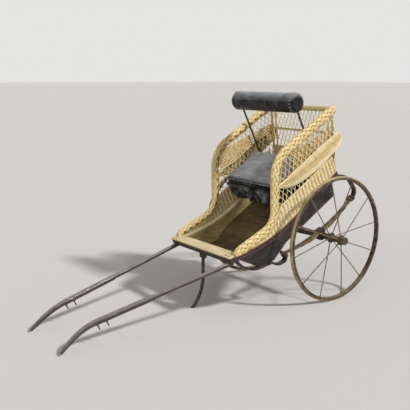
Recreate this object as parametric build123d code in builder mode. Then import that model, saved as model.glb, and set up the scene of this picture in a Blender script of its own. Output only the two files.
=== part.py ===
"""Small two-wheeled wicker driving cart, parked on its prop leg with the shafts down.

Frame: +X forward to the shafts, +Y to the cart's left, +Z up, the origin on the floor under
the middle of the whole cart. The body and its shafts are drawn in their own upright frame,
measured from the axle: u runs forward, w runs up, and PITCH tips that frame nose down.
"""
import os
from math import atan2, cos, degrees, hypot, radians, sin, tan

from build123d import *

os.makedirs("parts", exist_ok=True)

MM = 1.0
SIDES = {"left": 1, "right": -1}
OVERRUN = 6.0 * MM
RUNNING_GAP = 0.05 * MM
REST_GAP = 0.3 * MM

# Wheels, each on its own hub
WHEEL_RADIUS = 310.0 * MM
TYRE_WIDTH = 22.0 * MM
TYRE_DEPTH = 15.0 * MM
RIM_DEPTH = 10.0 * MM
RIM_WALL = 3.0 * MM
SPOKE_COUNT = 12
SPOKE_RADIUS = 2.6 * MM
FIRST_SPOKE = 20.0
WHEEL_GAP = 90.0 * MM
HUB_LENGTH = 104.0 * MM
HUB_OFFSET = 5.0 * MM
HUB_RADIUS = 15.0 * MM
FLANGE_RADIUS = 25.0 * MM
FLANGE_WIDTH = 7.0 * MM
FLANGE_SPREAD = 64.0 * MM
HUB_CAP_RADIUS = 19.0 * MM
HUB_CAP_LENGTH = 16.0 * MM
SPINDLE_RADIUS = 8.0 * MM

# Parked attitude of the body
PITCH = 25.0
COS = cos(radians(PITCH))
SIN = sin(radians(PITCH))

# Body, measured from the axle in its own upright frame
BODY_REACH = 540.0 * MM
BODY_RISE = 570.0 * MM
BODY_HALF_WIDTH = 232.0 * MM
SILL_DEPTH = 24.0 * MM
SILL_WIDTH = 24.0 * MM
WALL_THICKNESS = 10.0 * MM
PANEL_INSET = 5.0 * MM
PANEL_THICKNESS = 10.0 * MM
PLANK_THICKNESS = 9.0 * MM
BORDER_WIDTH = 41.0 * MM
BORDER_THICKNESS = 27.0 * MM
BORDER_NOSE = 22.0 * MM
BACK_RAIL_RADIUS = 13.0 * MM
FRONT_CURL_RADIUS = 100.0 * MM
TOP_CURL_RADIUS = 140.0 * MM
FRONT_BOARD_THICKNESS = 8.0 * MM
FRONT_BOARD_DEPTH = 58.0 * MM
FRONT_SLOPE = 14.0
CROSS_BAR_DEPTH = 26.0 * MM
CROSS_BAR_WIDTH = 20.0 * MM
ROLL_ARM_SWELL = 32.0 * MM

# Wicker: open lattice in tall diamonds, and close work pleated over its stakes
CANE_WIDTH = 5.0 * MM
CANE_RECESS = 2.5 * MM
SIDE_DIAMOND_WIDTH = 42.0 * MM
SIDE_DIAMOND_HEIGHT = 70.0 * MM
BACK_DIAMOND_WIDTH = 41.0 * MM
BACK_DIAMOND_HEIGHT = 86.0 * MM
WINDOW_RIM = 4.0 * MM
POST_WIDTH = 13.0 * MM
INNER_POST_GAP = 26.0 * MM
MID_RAIL_WIDTH = 9.0 * MM
MID_RAIL_SHARE = 0.61
BACK_FOOT_SHARE = 0.16
PLEAT_PITCH = 23.0 * MM
PLEAT_DEPTH = 5.0 * MM

# Seat and backrest
SEAT_FRONT = 136.0 * MM
SEAT_DEPTH = 258.0 * MM
SEAT_HEIGHT = 306.0 * MM
SEAT_SLOPE = 9.0
SEAT_BOARD_THICKNESS = 12.0 * MM
CUSHION_THICKNESS = 40.0 * MM
CUSHION_SIDE_GAP = 32.0 * MM
CUSHION_DEPTH = 238.0 * MM
CUSHION_ROUND = 12.0 * MM
VALANCE_DROP = 62.0 * MM
VALANCE_THICKNESS = 3.0 * MM
VALANCE_FLAPS = 9
FLAP_DROP_SHARES = (0.55, 0.85, 0.45, 0.75, 1.0, 0.75, 0.45, 0.85, 0.55)
FLAP_TEAR_SHARE = 0.3
STANCHION_RADIUS = 5.0 * MM
STANCHION_INSET = 32.0 * MM
STANCHION_U = -117.0 * MM
STANCHION_BITE = 40.0 * MM
STANCHION_FOOT_RADIUS = 14.0 * MM
STANCHION_FOOT_THICKNESS = 4.0 * MM
ROLL_RADIUS = 48.0 * MM
ROLL_INSET = 9.0 * MM
ROLL_END_ROUND = 20.0 * MM
ROLL_RISE = 677.0 * MM
ROLL_U = -106.0 * MM

# Axle, springs and the irons that hang the body on them
AXLE_SIZE = 22.0 * MM
AXLE_BED_SIZE = 28.0 * MM
AXLE_BED_INSET = 67.0 * MM
AXLE_COLLAR_RADIUS = 17.0 * MM
AXLE_COLLAR_LENGTH = 6.0 * MM
SPRING_INSET = 15.0 * MM
SPRING_WIDTH = 24.0 * MM
LEAF_THICKNESS = 4.0 * MM
LEAF_COUNT = 4
SPRING_SPAN_SHARE = 0.4778
SPRING_CAMBER = 33.0 * MM
LEAF_STEP_SHARE = 0.21
EYE_RADIUS = 8.0 * MM
EYE_PIN_RADIUS = 4.0 * MM
CLIP_ROD_RADIUS = 4.0 * MM
CLIP_PLATE_THICKNESS = 5.0 * MM
IRON_THICKNESS = 10.0 * MM
IRON_WIDTH = 24.0 * MM
CHEEK_THICKNESS = 4.0 * MM
CHEEK_RADIUS = 9.0 * MM
CHEEK_LENGTH = 22.0 * MM

# Shafts, each a bent pole that thickens ahead of its splice
SHAFT_REAR_RADIUS = 10.5 * MM
SHAFT_FRONT_RADIUS = 13.5 * MM
SHAFT_TIP_RADIUS = 5.5 * MM
SHAFT_DROP = 6.6 * MM
# Runs as forward, outward and up: from the root to the bend, and from the bend to the tip
SHAFT_RUN = (735.0 * MM, -74.0 * MM, 151.0 * MM)
TIP_RUN = (111.0 * MM, 11.0 * MM, -34.0 * MM)
SHAFT_BEND_RADIUS = 300.0 * MM
SHAFT_TAPER_SHARES = (1.0, 0.86, 0.68)
SPLICE_SHARE = 0.545
TUG_PIN_RADIUS = 3.0 * MM
TUG_PIN_LENGTH = 24.0 * MM
TUG_PIN_SHARES = (0.845, 0.9)
TUG_COLLAR_RADIUS = 5.5 * MM
TUG_COLLAR_LENGTH = 2.5 * MM

# Prop leg under the front cross bar, drawn upright in the parked frame
LEG_RADIUS = 8.0 * MM
LEG_CURL_RADIUS = 210.0 * MM
LEG_CURL_ANGLE = 45.0
LEG_AHEAD = 5.5 * MM
LEG_PIVOT_DROP = 18.2 * MM
LEG_EYE_RADIUS = 12.0 * MM
LEG_EYE_WIDTH = 17.0 * MM
LEG_PIN_RADIUS = 4.0 * MM
BRACKET_EAR_THICKNESS = 5.0 * MM

# Outlines of the body as shares of BODY_REACH along u and BODY_RISE along w
ON, BEND = "on", "bend"
# Lower edge of the sill, front to rear: u share, w share, a point on it or the bend between
SILL_SHARES = (
    (0.985, 0.352, ON), (0.787, 0.308, BEND), (0.556, 0.281, ON),
    (0.370, 0.285, BEND), (0.185, 0.309, ON), (-0.389, 0.402, ON),
)
# Outer corners of the boarded well and floor, front to rear: u share, w share
WELL_SHARES = (
    (0.905, 0.327), (0.767, 0.158), (0.593, 0.119),
    (0.406, 0.184), (-0.287, 0.256), (-0.287, 0.384),
)
# Middle line of the braided border, front to rear: u share, w share
BORDER_SHARES = ((0.915, 0.400), (0.468, 0.394), (0.241, 0.882), (-0.580, 0.964))
# Top edge of the close work, front to rear: u share, w share
CLOSE_WORK_SHARES = ((0.463, 0.407), (0.344, 0.523), (0.176, 0.539), (-0.078, 0.563), (-0.420, 0.604))
# Swelling arm roll along each side: u share, lower w share, upper w share, swell share
ROLL_ARM_SHARES = (
    (0.290, 0.662, 0.682, 0.12),
    (0.160, 0.596, 0.706, 0.70),
    (-0.060, 0.590, 0.738, 1.00),
    (-0.300, 0.612, 0.758, 1.00),
    (-0.515, 0.657, 0.768, 0.90),
)
# Scroll irons, front and rear: u share, w share, a point on it or the bend between
FRONT_IRON_SHARES = (
    (0.958, 0.360, ON), (0.896, 0.232, BEND), (0.750, 0.141, ON), (0.622, 0.110, ON),
    (0.572, 0.058, BEND), (0.515, 0.040, ON), (0.470, 0.050, BEND), (0.462, 0.082, ON),
)
REAR_IRON_SHARES = (
    (-0.300, 0.378, ON), (-0.389, 0.392, ON), (-0.487, 0.330, BEND), (-0.545, 0.200, ON),
    (-0.541, 0.136, BEND), (-0.495, 0.108, ON),
)


def place(u_share, w_share):
    """A point of the body's side view from its shares."""
    return (u_share * BODY_REACH, w_share * BODY_RISE)


def body_to_cart(u, y, w):
    """A point of the body's upright frame in the parked cart's frame."""
    return Vector(AXLE_X + u * COS + w * SIN, y, WHEEL_RADIUS - u * SIN + w * COS)


def body_plane(y):
    """Side view of the body at a given y: local x forward, local y up, facing the right."""
    return Plane(origin=(AXLE_X, y, WHEEL_RADIUS), x_dir=(COS, 0, -SIN), z_dir=(0, -1, 0))


def run_edges(rows, rise=0.0):
    """Draw an open run of lines and arcs through the rows of an outline table."""
    start = None
    bend = None
    for u_share, w_share, kind in rows:
        u, w = place(u_share, w_share)
        point = (u, w + rise)
        if kind == BEND:
            bend = point
            continue
        if start is not None and bend is not None:
            ThreePointArc(start, bend, point)
        elif start is not None:
            Line(start, point)
        start = point
        bend = None


def run_end(rows, index, rise=0.0):
    """The first or last point of an outline table, raised by rise."""
    u, w = place(rows[index][0], rows[index][1])
    return (u, w + rise)


def mitred(points, thickness):
    """The points moved to the left of the run by thickness, with mitred corners."""
    moved = []
    for index, (u, w) in enumerate(points):
        before = points[max(index - 1, 0)]
        after = points[min(index + 1, len(points) - 1)]
        if index == 0:
            before = (u - (after[0] - u), w - (after[1] - w))
        if index == len(points) - 1:
            after = (u + (u - before[0]), w + (w - before[1]))
        turn_in = atan2(w - before[1], u - before[0])
        turn_out = atan2(after[1] - w, after[0] - u)
        half = (turn_out - turn_in) / 2
        middle = (turn_out + turn_in) / 2
        length = thickness / cos(half)
        moved.append((u + length * sin(middle), w - length * cos(middle)))
    return moved


def finish(part, name):
    part.label = name
    export_step(part, f"parts/{name}.step")


# Places across the cart, all from the body's half width
CUSHION_HALF_WIDTH = BODY_HALF_WIDTH - CUSHION_SIDE_GAP
STANCHION_Y = BODY_HALF_WIDTH - STANCHION_INSET
ROLL_HALF_LENGTH = BODY_HALF_WIDTH - ROLL_INSET
SPRING_Y = BODY_HALF_WIDTH - SPRING_INSET
AXLE_BED_HALF_LENGTH = SPRING_Y - AXLE_BED_INSET
WHEEL_Y = BODY_HALF_WIDTH + WHEEL_GAP

# Reach of the shaft's tip ahead of the axle, with the edge of its round end
sill_front = place(*SILL_SHARES[0][:2])
SHAFT_ROOT = (sill_front[0], SPRING_Y, sill_front[1] - SHAFT_DROP)
SHAFT_BEND = [start + step for start, step in zip(SHAFT_ROOT, SHAFT_RUN)]
SHAFT_TIP = [start + step for start, step in zip(SHAFT_BEND, TIP_RUN)]
tip_slope = (TIP_RUN[0] * COS + TIP_RUN[2] * SIN) / hypot(*TIP_RUN)
TIP_REACH = SHAFT_TIP[0] * COS + SHAFT_TIP[2] * SIN + SHAFT_TIP_RADIUS * (1 - tip_slope**2) ** 0.5
AXLE_X = (WHEEL_RADIUS - TIP_REACH) / 2


# Sills: the curved black beams that everything else of the body stands on
sills = {}
for name, side in SIDES.items():
    with BuildPart() as sill:
        with BuildSketch(body_plane(side * BODY_HALF_WIDTH)):
            with BuildLine():
                run_edges(SILL_SHARES)
                run_edges(SILL_SHARES, SILL_DEPTH)
                for end in (0, -1):
                    Line(run_end(SILL_SHARES, end), run_end(SILL_SHARES, end, SILL_DEPTH))
            make_face()
        extrude(amount=side * SILL_WIDTH)
    sills[side] = sill.part
    finish(sill.part, f"sill_{name}")

# Well and floor: planks between the side panels, mitred where they meet
panel_outer = BODY_HALF_WIDTH - PANEL_INSET
panel_inner = panel_outer - PANEL_THICKNESS
well_outer = [place(*row) for row in WELL_SHARES]
well_inner = mitred(well_outer, PLANK_THICKNESS)
PLANK_NAMES = ("well_front", "well_floor", "well_riser", "body_floor", "body_rear_board")
for index, name in enumerate(PLANK_NAMES):
    with BuildPart() as plank:
        with BuildSketch(body_plane(0)):
            with BuildLine():
                Polyline(
                    well_outer[index], well_outer[index + 1],
                    well_inner[index + 1], well_inner[index], close=True,
                )
            make_face()
        extrude(amount=panel_inner, both=True)
        for side in SIDES.values():
            add(sills[side], mode=Mode.SUBTRACT)
    finish(plank.part, name)

# Black side panels under the sills: one round the well, one along the floor
for name, side in SIDES.items():
    for panel_name, first, last in (("well_side", 0, 3), ("side_panel", 3, 5)):
        with BuildPart() as panel:
            with BuildSketch(body_plane(side * panel_outer)):
                with BuildLine():
                    corners = well_outer[first:last + 1]
                    top_rear = (corners[-1][0], BODY_RISE)
                    top_front = (corners[0][0], BODY_RISE)
                    Polyline(*corners, top_rear, top_front, close=True)
                make_face()
                with BuildLine():
                    run_edges(SILL_SHARES)
                    front_low = run_end(SILL_SHARES, 0)
                    rear_low = run_end(SILL_SHARES, -1)
                    Polyline(
                        rear_low, (rear_low[0], BODY_RISE + OVERRUN),
                        (front_low[0], BODY_RISE + OVERRUN), front_low,
                    )
                make_face(mode=Mode.SUBTRACT)
            extrude(amount=side * PANEL_THICKNESS)
        finish(panel.part, f"{panel_name}_{name}")

# Rear cross bar between the sills, over the rear board
with BuildPart() as rear_cross_bar:
    with BuildSketch(body_plane(0)):
        with BuildLine():
            run_edges(SILL_SHARES)
            run_edges(SILL_SHARES, SILL_DEPTH)
            for end in (0, -1):
                Line(run_end(SILL_SHARES, end), run_end(SILL_SHARES, end, SILL_DEPTH))
        make_face()
        with BuildLine():
            front = well_outer[-1][0] + PLANK_THICKNESS
            Polyline(
                (front, 0), (front, BODY_RISE), (BODY_REACH, BODY_RISE), (BODY_REACH, 0),
                close=True,
            )
        make_face(mode=Mode.SUBTRACT)
    extrude(amount=BODY_HALF_WIDTH - SILL_WIDTH, both=True)
    with BuildSketch(body_plane(0)):
        with BuildLine():
            Polyline(*well_outer[-2:], *reversed(well_inner[-2:]), close=True)
        make_face()
    extrude(amount=panel_inner, both=True, mode=Mode.SUBTRACT)
finish(rear_cross_bar.part, "rear_cross_bar")

# Front board over the sill ends, and the dark cross bar that caps them
fore = (cos(radians(FRONT_SLOPE)), sin(radians(FRONT_SLOPE)))
with BuildPart() as front_cross_bar:
    with BuildSketch(body_plane(0)):
        with BuildLine():
            low = (sill_front[0], sill_front[1] + SILL_DEPTH - CROSS_BAR_DEPTH)
            run = CROSS_BAR_WIDTH
            Polyline(
                low, (low[0] + run * fore[0], low[1] + run * fore[1]),
                (low[0] + run * fore[0], low[1] + run * fore[1] + CROSS_BAR_DEPTH),
                (low[0], low[1] + CROSS_BAR_DEPTH), close=True,
            )
        make_face()
    extrude(amount=BODY_HALF_WIDTH, both=True)
finish(front_cross_bar.part, "front_cross_bar")

with BuildPart() as front_board:
    with BuildSketch(body_plane(0)):
        with BuildLine():
            top = (sill_front[0], sill_front[1] + SILL_DEPTH)
            nose = (top[0] + CROSS_BAR_WIDTH * fore[0], top[1] + CROSS_BAR_WIDTH * fore[1])
            back = (top[0] - (FRONT_BOARD_DEPTH - CROSS_BAR_WIDTH) * fore[0],
                    top[1] - (FRONT_BOARD_DEPTH - CROSS_BAR_WIDTH) * fore[1] + REST_GAP)
            Polyline(
                top, nose, (nose[0], nose[1] + FRONT_BOARD_THICKNESS),
                (back[0], back[1] + FRONT_BOARD_THICKNESS), back, close=True,
            )
        make_face()
    extrude(amount=BODY_HALF_WIDTH, both=True)
    for side in SIDES.values():
        add(sills[side], mode=Mode.SUBTRACT)
finish(front_board.part, "front_board")

# Braided border: a thick band swept along the front and top edge of each side
border_points = [place(*row) for row in BORDER_SHARES]
border_y = BODY_HALF_WIDTH - WALL_THICKNESS / 2
borders = {}
for name, side in SIDES.items():
    with BuildPart() as border:
        with BuildLine(body_plane(side * border_y)) as path:
            FilletPolyline(*border_points, radius=[FRONT_CURL_RADIUS, TOP_CURL_RADIUS])
        start = path.wires()[0] @ 0
        along = path.wires()[0] % 0
        with BuildSketch(Plane(origin=start, x_dir=(0, 1, 0), z_dir=along)):
            Ellipse(BORDER_THICKNESS / 2, BORDER_WIDTH / 2)
        sweep(path=path.wires()[0])
        with BuildSketch(body_plane(side * (border_y + BORDER_THICKNESS))):
            front_u, front_w = border_points[0]
            nose = (front_u - BORDER_NOSE, front_w + BORDER_WIDTH / 2 - BORDER_NOSE)
            with Locations(nose):
                Rectangle(
                    BORDER_NOSE + OVERRUN, BORDER_NOSE + OVERRUN, align=(Align.MIN, Align.MIN)
                )
                Circle(BORDER_NOSE, mode=Mode.SUBTRACT)
        extrude(amount=side * 2 * BORDER_THICKNESS, mode=Mode.SUBTRACT)
        add(sills[side], mode=Mode.SUBTRACT)
    borders[side] = border.part
    finish(border.part, f"border_{name}")

# Rail along the top of the back, let into the rear ends of both borders
top_run = Vector(*border_points[-1]) - Vector(*border_points[-2])
rail = Vector(*border_points[-1]) - top_run.normalized() * BACK_RAIL_RADIUS
with BuildPart() as back_rail:
    with BuildSketch(body_plane(0)):
        with Locations((rail.X, rail.Y)):
            Circle(BACK_RAIL_RADIUS)
    extrude(amount=border_y, both=True)
    for side in SIDES.values():
        add(borders[side], mode=Mode.SUBTRACT)
finish(back_rail.part, "back_rail")

# Back wall: it leans back from the rear cross bar up to the rail
back_foot = Vector(*run_end(SILL_SHARES, -1, SILL_DEPTH))
lean = atan2(rail.Y - back_foot.Y, rail.X - back_foot.X)
across = Vector(sin(lean), -cos(lean)) * WALL_THICKNESS
back_head = rail - across / 2
back_tilt = lean - radians(PITCH)
back_plane = Plane(
    origin=body_to_cart(back_foot.X, 0, back_foot.Y),
    x_dir=(0, 1, 0),
    z_dir=(sin(back_tilt), 0, -cos(back_tilt)),
)
back_height = (back_head - back_foot).length
back_half_width = BODY_HALF_WIDTH - WALL_THICKNESS
cane_depth = WALL_THICKNESS - 2 * CANE_RECESS


def diamond_holes(width, height, reach, rise):
    """Tall diamonds in staggered rows, each smaller than its mesh by the width of a cane."""
    mesh = width * height / hypot(width, height) / 2
    opening = (mesh - CANE_WIDTH / 2) / mesh
    corners = [
        (0, height / 2 * opening), (width / 2 * opening, 0),
        (0, -height / 2 * opening), (-width / 2 * opening, 0),
    ]
    columns = int(reach / width) + 2
    rows = int(rise / height) + 2
    with GridLocations(width, height, columns, rows):
        Polygon(*corners, mode=Mode.SUBTRACT)
    with Locations((width / 2, height / 2)):
        with GridLocations(width, height, columns, rows):
            Polygon(*corners, mode=Mode.SUBTRACT)


def back_windows():
    """The open fields of the back, between its posts, its rails and the foot."""
    foot = back_height * BACK_FOOT_SHARE
    head = back_height - BACK_RAIL_RADIUS - WINDOW_RIM
    middle = back_height * MID_RAIL_SHARE
    edge = border_y - BORDER_THICKNESS / 2 - WINDOW_RIM
    inner = edge - INNER_POST_GAP
    for low, high in ((foot, middle - MID_RAIL_WIDTH / 2), (middle + MID_RAIL_WIDTH / 2, head)):
        with Locations((0, (low + high) / 2)):
            Rectangle(2 * (inner - POST_WIDTH / 2), high - low)
        for direction in SIDES.values():
            with Locations((direction * (edge + inner) / 2, (low + high) / 2)):
                Rectangle(edge - inner - POST_WIDTH / 2, high - low)


with BuildPart() as wicker_back:
    with BuildSketch(back_plane):
        with Locations((0, back_height / 2)):
            Rectangle(2 * back_half_width, back_height)
    extrude(amount=WALL_THICKNESS)
    with BuildSketch(back_plane):
        back_windows()
    extrude(amount=WALL_THICKNESS, mode=Mode.SUBTRACT)
    add(back_rail.part, mode=Mode.SUBTRACT)
    add(rear_cross_bar.part, mode=Mode.SUBTRACT)
    for side in SIDES.values():
        add(borders[side], mode=Mode.SUBTRACT)
        add(sills[side], mode=Mode.SUBTRACT)
    with BuildSketch(back_plane.offset(CANE_RECESS)):
        back_windows()
        with Locations((0, back_height / 2)):
            diamond_holes(BACK_DIAMOND_WIDTH, BACK_DIAMOND_HEIGHT, 2 * back_half_width, back_height)
    extrude(amount=cane_depth)
finish(wicker_back.part, "wicker_back")

# Wicker side walls between sill, border and back
wall_front = border_points[0][0] - 2 * BORDER_NOSE
window_inset = BORDER_WIDTH / 2 + WINDOW_RIM
window_edge = mitred(border_points, -window_inset)
close_top = [place(*row) for row in CLOSE_WORK_SHARES]
band = [place(row[0], row[1]) for row in ROLL_ARM_SHARES]
band += [place(row[0], row[2]) for row in reversed(ROLL_ARM_SHARES)]
post = across * POST_WIDTH / WALL_THICKNESS


def side_windows():
    """The open fields of a side, above the close work and clear of the arm roll's backing."""
    with BuildLine() as field:
        FilletPolyline(
            *window_edge, radius=[FRONT_CURL_RADIUS + window_inset, TOP_CURL_RADIUS - window_inset]
        )
        Polyline(
            window_edge[-1], (window_edge[-1][0], 0), (window_edge[0][0], 0), window_edge[0]
        )
    make_face(field.edges())
    for corners in (
        (*close_top, (-BODY_REACH, close_top[-1][1]), (-BODY_REACH, 0), (BODY_REACH, 0),
         (BODY_REACH, close_top[0][1])),
        band,
        (((back_foot + post).X, (back_foot + post).Y), ((back_head + post).X, (back_head + post).Y),
         (-BODY_REACH, back_head.Y), (-BODY_REACH, back_foot.Y)),
    ):
        with BuildLine() as closed_part:
            Polyline(*corners, close=True)
        make_face(closed_part.edges(), mode=Mode.SUBTRACT)


for name, side in SIDES.items():
    outer_plane = body_plane(side * BODY_HALF_WIDTH)
    with BuildPart() as pleats:
        plan = Plane(
            origin=body_to_cart(0, side * BODY_HALF_WIDTH, 0), x_dir=(COS, 0, -SIN), z_dir=(SIN, 0, COS)
        )
        with BuildSketch(plan):
            with BuildLine():
                count = int(2 * BODY_REACH / PLEAT_PITCH)
                for pleat in range(count):
                    u = BODY_REACH - pleat * PLEAT_PITCH
                    ThreePointArc(
                        (u, -side * PLEAT_DEPTH), (u - PLEAT_PITCH / 2, 0),
                        (u - PLEAT_PITCH, -side * PLEAT_DEPTH),
                    )
                last = BODY_REACH - count * PLEAT_PITCH
                Polyline(
                    (last, -side * PLEAT_DEPTH), (last, side * OVERRUN),
                    (BODY_REACH, side * OVERRUN), (BODY_REACH, -side * PLEAT_DEPTH),
                )
            make_face()
        extrude(amount=BODY_RISE)
        with BuildSketch(body_plane(side * (BODY_HALF_WIDTH + OVERRUN))):
            with BuildLine():
                Polyline(
                    (wall_front, close_top[0][1]), *close_top, (close_top[-1][0], 0), (wall_front, 0),
                    close=True,
                )
            make_face()
        extrude(amount=side * (WALL_THICKNESS + OVERRUN), mode=Mode.INTERSECT)
    with BuildPart() as wall:
        with BuildSketch(outer_plane):
            with BuildLine():
                run_edges(SILL_SHARES, SILL_DEPTH)
                FilletPolyline(*border_points, radius=[FRONT_CURL_RADIUS, TOP_CURL_RADIUS])
                Polyline(
                    (back_foot.X, back_foot.Y), (back_head.X, back_head.Y), border_points[-1]
                )
                Line(border_points[0], run_end(SILL_SHARES, 0, SILL_DEPTH))
            make_face()
            with BuildLine():
                Polyline(
                    (wall_front, 0), (wall_front, BODY_RISE), (BODY_REACH, BODY_RISE),
                    (BODY_REACH, 0), close=True,
                )
            make_face(mode=Mode.SUBTRACT)
        extrude(amount=side * WALL_THICKNESS)
        with BuildSketch(outer_plane):
            side_windows()
        extrude(amount=side * WALL_THICKNESS, mode=Mode.SUBTRACT)
        add(borders[side], mode=Mode.SUBTRACT)
        add(back_rail.part, mode=Mode.SUBTRACT)
        add(pleats.part, mode=Mode.SUBTRACT)
        with BuildSketch(body_plane(side * (BODY_HALF_WIDTH - CANE_RECESS))):
            side_windows()
            with Locations((0, BODY_RISE / 2)):
                diamond_holes(SIDE_DIAMOND_WIDTH, SIDE_DIAMOND_HEIGHT, 2 * BODY_REACH, BODY_RISE)
        extrude(amount=side * cane_depth)
    finish(wall.part, f"wicker_side_{name}")

# Arm rolls: a long swelling of woven strands on the outside of each wall
for name, side in SIDES.items():
    with BuildPart() as roll_arm:
        for u_share, low_share, high_share, swell_share in ROLL_ARM_SHARES:
            u, low = place(u_share, low_share)
            high = place(u_share, high_share)[1]
            origin = body_to_cart(u, side * BODY_HALF_WIDTH, 0)
            station = Plane(origin=origin, x_dir=(0, side, 0), z_dir=(side * COS, 0, -side * SIN))
            with BuildSketch(station):
                with BuildLine():
                    bulge = ThreePointArc(
                        (0, low), (ROLL_ARM_SWELL * swell_share, (low + high) / 2), (0, high)
                    )
                    Line(bulge @ 1, bulge @ 0)
                make_face()
        loft()
    finish(roll_arm.part, f"roll_arm_{name}")

# Seat board with its cushion, and the torn valance under its front edge
seat_plane = Plane(
    origin=body_to_cart(SEAT_FRONT, 0, SEAT_HEIGHT),
    x_dir=(cos(radians(PITCH + SEAT_SLOPE)), 0, -sin(radians(PITCH + SEAT_SLOPE))),
    z_dir=(sin(radians(PITCH + SEAT_SLOPE)), 0, cos(radians(PITCH + SEAT_SLOPE))),
)
with BuildPart() as seat_board:
    with BuildSketch(seat_plane):
        with Locations((-SEAT_DEPTH / 2, 0)):
            Rectangle(SEAT_DEPTH, 2 * (BODY_HALF_WIDTH - WALL_THICKNESS))
    extrude(amount=SEAT_BOARD_THICKNESS)
finish(seat_board.part, "seat_board")

with BuildPart() as seat_cushion:
    with BuildSketch(seat_plane.offset(SEAT_BOARD_THICKNESS + REST_GAP)):
        with Locations((-CUSHION_DEPTH / 2, 0)):
            RectangleRounded(CUSHION_DEPTH, 2 * CUSHION_HALF_WIDTH, CUSHION_ROUND)
    extrude(amount=CUSHION_THICKNESS)
    top_face = seat_cushion.faces().sort_by(Axis(seat_plane.origin, seat_plane.z_dir))[-1]
    fillet(top_face.edges(), CUSHION_ROUND)
finish(seat_cushion.part, "seat_cushion")

flap_width = 2 * CUSHION_HALF_WIDTH / VALANCE_FLAPS
with BuildPart() as seat_valance:
    with BuildSketch(Plane(origin=seat_plane.origin, x_dir=(0, 1, 0), z_dir=(COS, 0, -SIN))):
        with BuildLine():
            edge = [(CUSHION_HALF_WIDTH, 0), (-CUSHION_HALF_WIDTH, 0)]
            for flap in range(VALANCE_FLAPS):
                left = -CUSHION_HALF_WIDTH + flap * flap_width
                drop = VALANCE_DROP * FLAP_DROP_SHARES[flap % len(FLAP_DROP_SHARES)]
                edge.append((left, -VALANCE_DROP * FLAP_TEAR_SHARE))
                edge.append((left + flap_width / 2, -drop))
            edge.append((CUSHION_HALF_WIDTH, -VALANCE_DROP * FLAP_TEAR_SHARE))
            Polyline(*edge, close=True)
        make_face()
    extrude(amount=VALANCE_THICKNESS)
finish(seat_valance.part, "seat_valance")

# Backrest: two iron stanchions on the seat board and the stuffed roll on top of them
seat_top = SEAT_HEIGHT + SEAT_BOARD_THICKNESS / cos(radians(SEAT_SLOPE))
stanchion_foot = (STANCHION_U, seat_top + (SEAT_FRONT - STANCHION_U) * tan(radians(SEAT_SLOPE)))
roll_centre = (ROLL_U, ROLL_RISE)
lean = atan2(roll_centre[1] - stanchion_foot[1], roll_centre[0] - stanchion_foot[0])
stanchion_length = hypot(
    roll_centre[0] - stanchion_foot[0], roll_centre[1] - stanchion_foot[1]
) - ROLL_RADIUS + STANCHION_BITE
stanchions = {}
for name, side in SIDES.items():
    tilt = lean - radians(PITCH)
    foot = body_to_cart(stanchion_foot[0], side * STANCHION_Y, stanchion_foot[1])
    up = Plane(origin=foot, x_dir=(0, 1, 0), z_dir=(cos(tilt), 0, sin(tilt)))
    with BuildPart() as stanchion:
        with BuildSketch(up):
            Circle(STANCHION_RADIUS)
        extrude(amount=stanchion_length)
        with BuildSketch(Plane(origin=foot, x_dir=(0, 1, 0), z_dir=seat_plane.z_dir)):
            Circle(STANCHION_FOOT_RADIUS)
        extrude(amount=STANCHION_FOOT_THICKNESS)
        add(seat_board.part, mode=Mode.SUBTRACT)
    stanchions[side] = stanchion.part
    finish(stanchion.part, f"backrest_iron_{name}")

with BuildPart() as backrest_roll:
    with BuildSketch(body_plane(-ROLL_HALF_LENGTH)):
        with Locations(roll_centre):
            Circle(ROLL_RADIUS)
    extrude(amount=-2 * ROLL_HALF_LENGTH)
    ends = backrest_roll.edges().filter_by(GeomType.CIRCLE)
    fillet(ends, ROLL_END_ROUND)
    for side in SIDES.values():
        add(stanchions[side], mode=Mode.SUBTRACT)
finish(backrest_roll.part, "backrest_roll")

# Axle: a bed that is thick in the middle, collars at the hubs and round spindles
hub_inner = WHEEL_Y + HUB_OFFSET - HUB_LENGTH / 2
hub_outer = WHEEL_Y + HUB_OFFSET + HUB_LENGTH / 2
collar_start = hub_inner - REST_GAP - AXLE_COLLAR_LENGTH
spindle_end = hub_outer - HUB_CAP_LENGTH / 2
axle_section = Plane(origin=(AXLE_X, 0, WHEEL_RADIUS), x_dir=(COS, 0, -SIN), z_dir=(0, 1, 0))
with BuildPart() as axle:
    for direction in SIDES.values():
        with BuildSketch(axle_section):
            Rectangle(AXLE_SIZE, AXLE_SIZE)
        extrude(amount=direction * collar_start)
        with BuildSketch(axle_section.offset(direction * collar_start)):
            Circle(AXLE_COLLAR_RADIUS)
        extrude(amount=direction * AXLE_COLLAR_LENGTH)
        with BuildSketch(axle_section.offset(direction * collar_start)):
            Circle(SPINDLE_RADIUS)
        extrude(amount=direction * (spindle_end - collar_start))
        with BuildSketch(axle_section):
            Rectangle(AXLE_BED_SIZE, AXLE_BED_SIZE)
        with BuildSketch(axle_section.offset(direction * AXLE_BED_HALF_LENGTH)):
            Rectangle(AXLE_SIZE, AXLE_SIZE)
        loft()
finish(axle.part, "axle")

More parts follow.
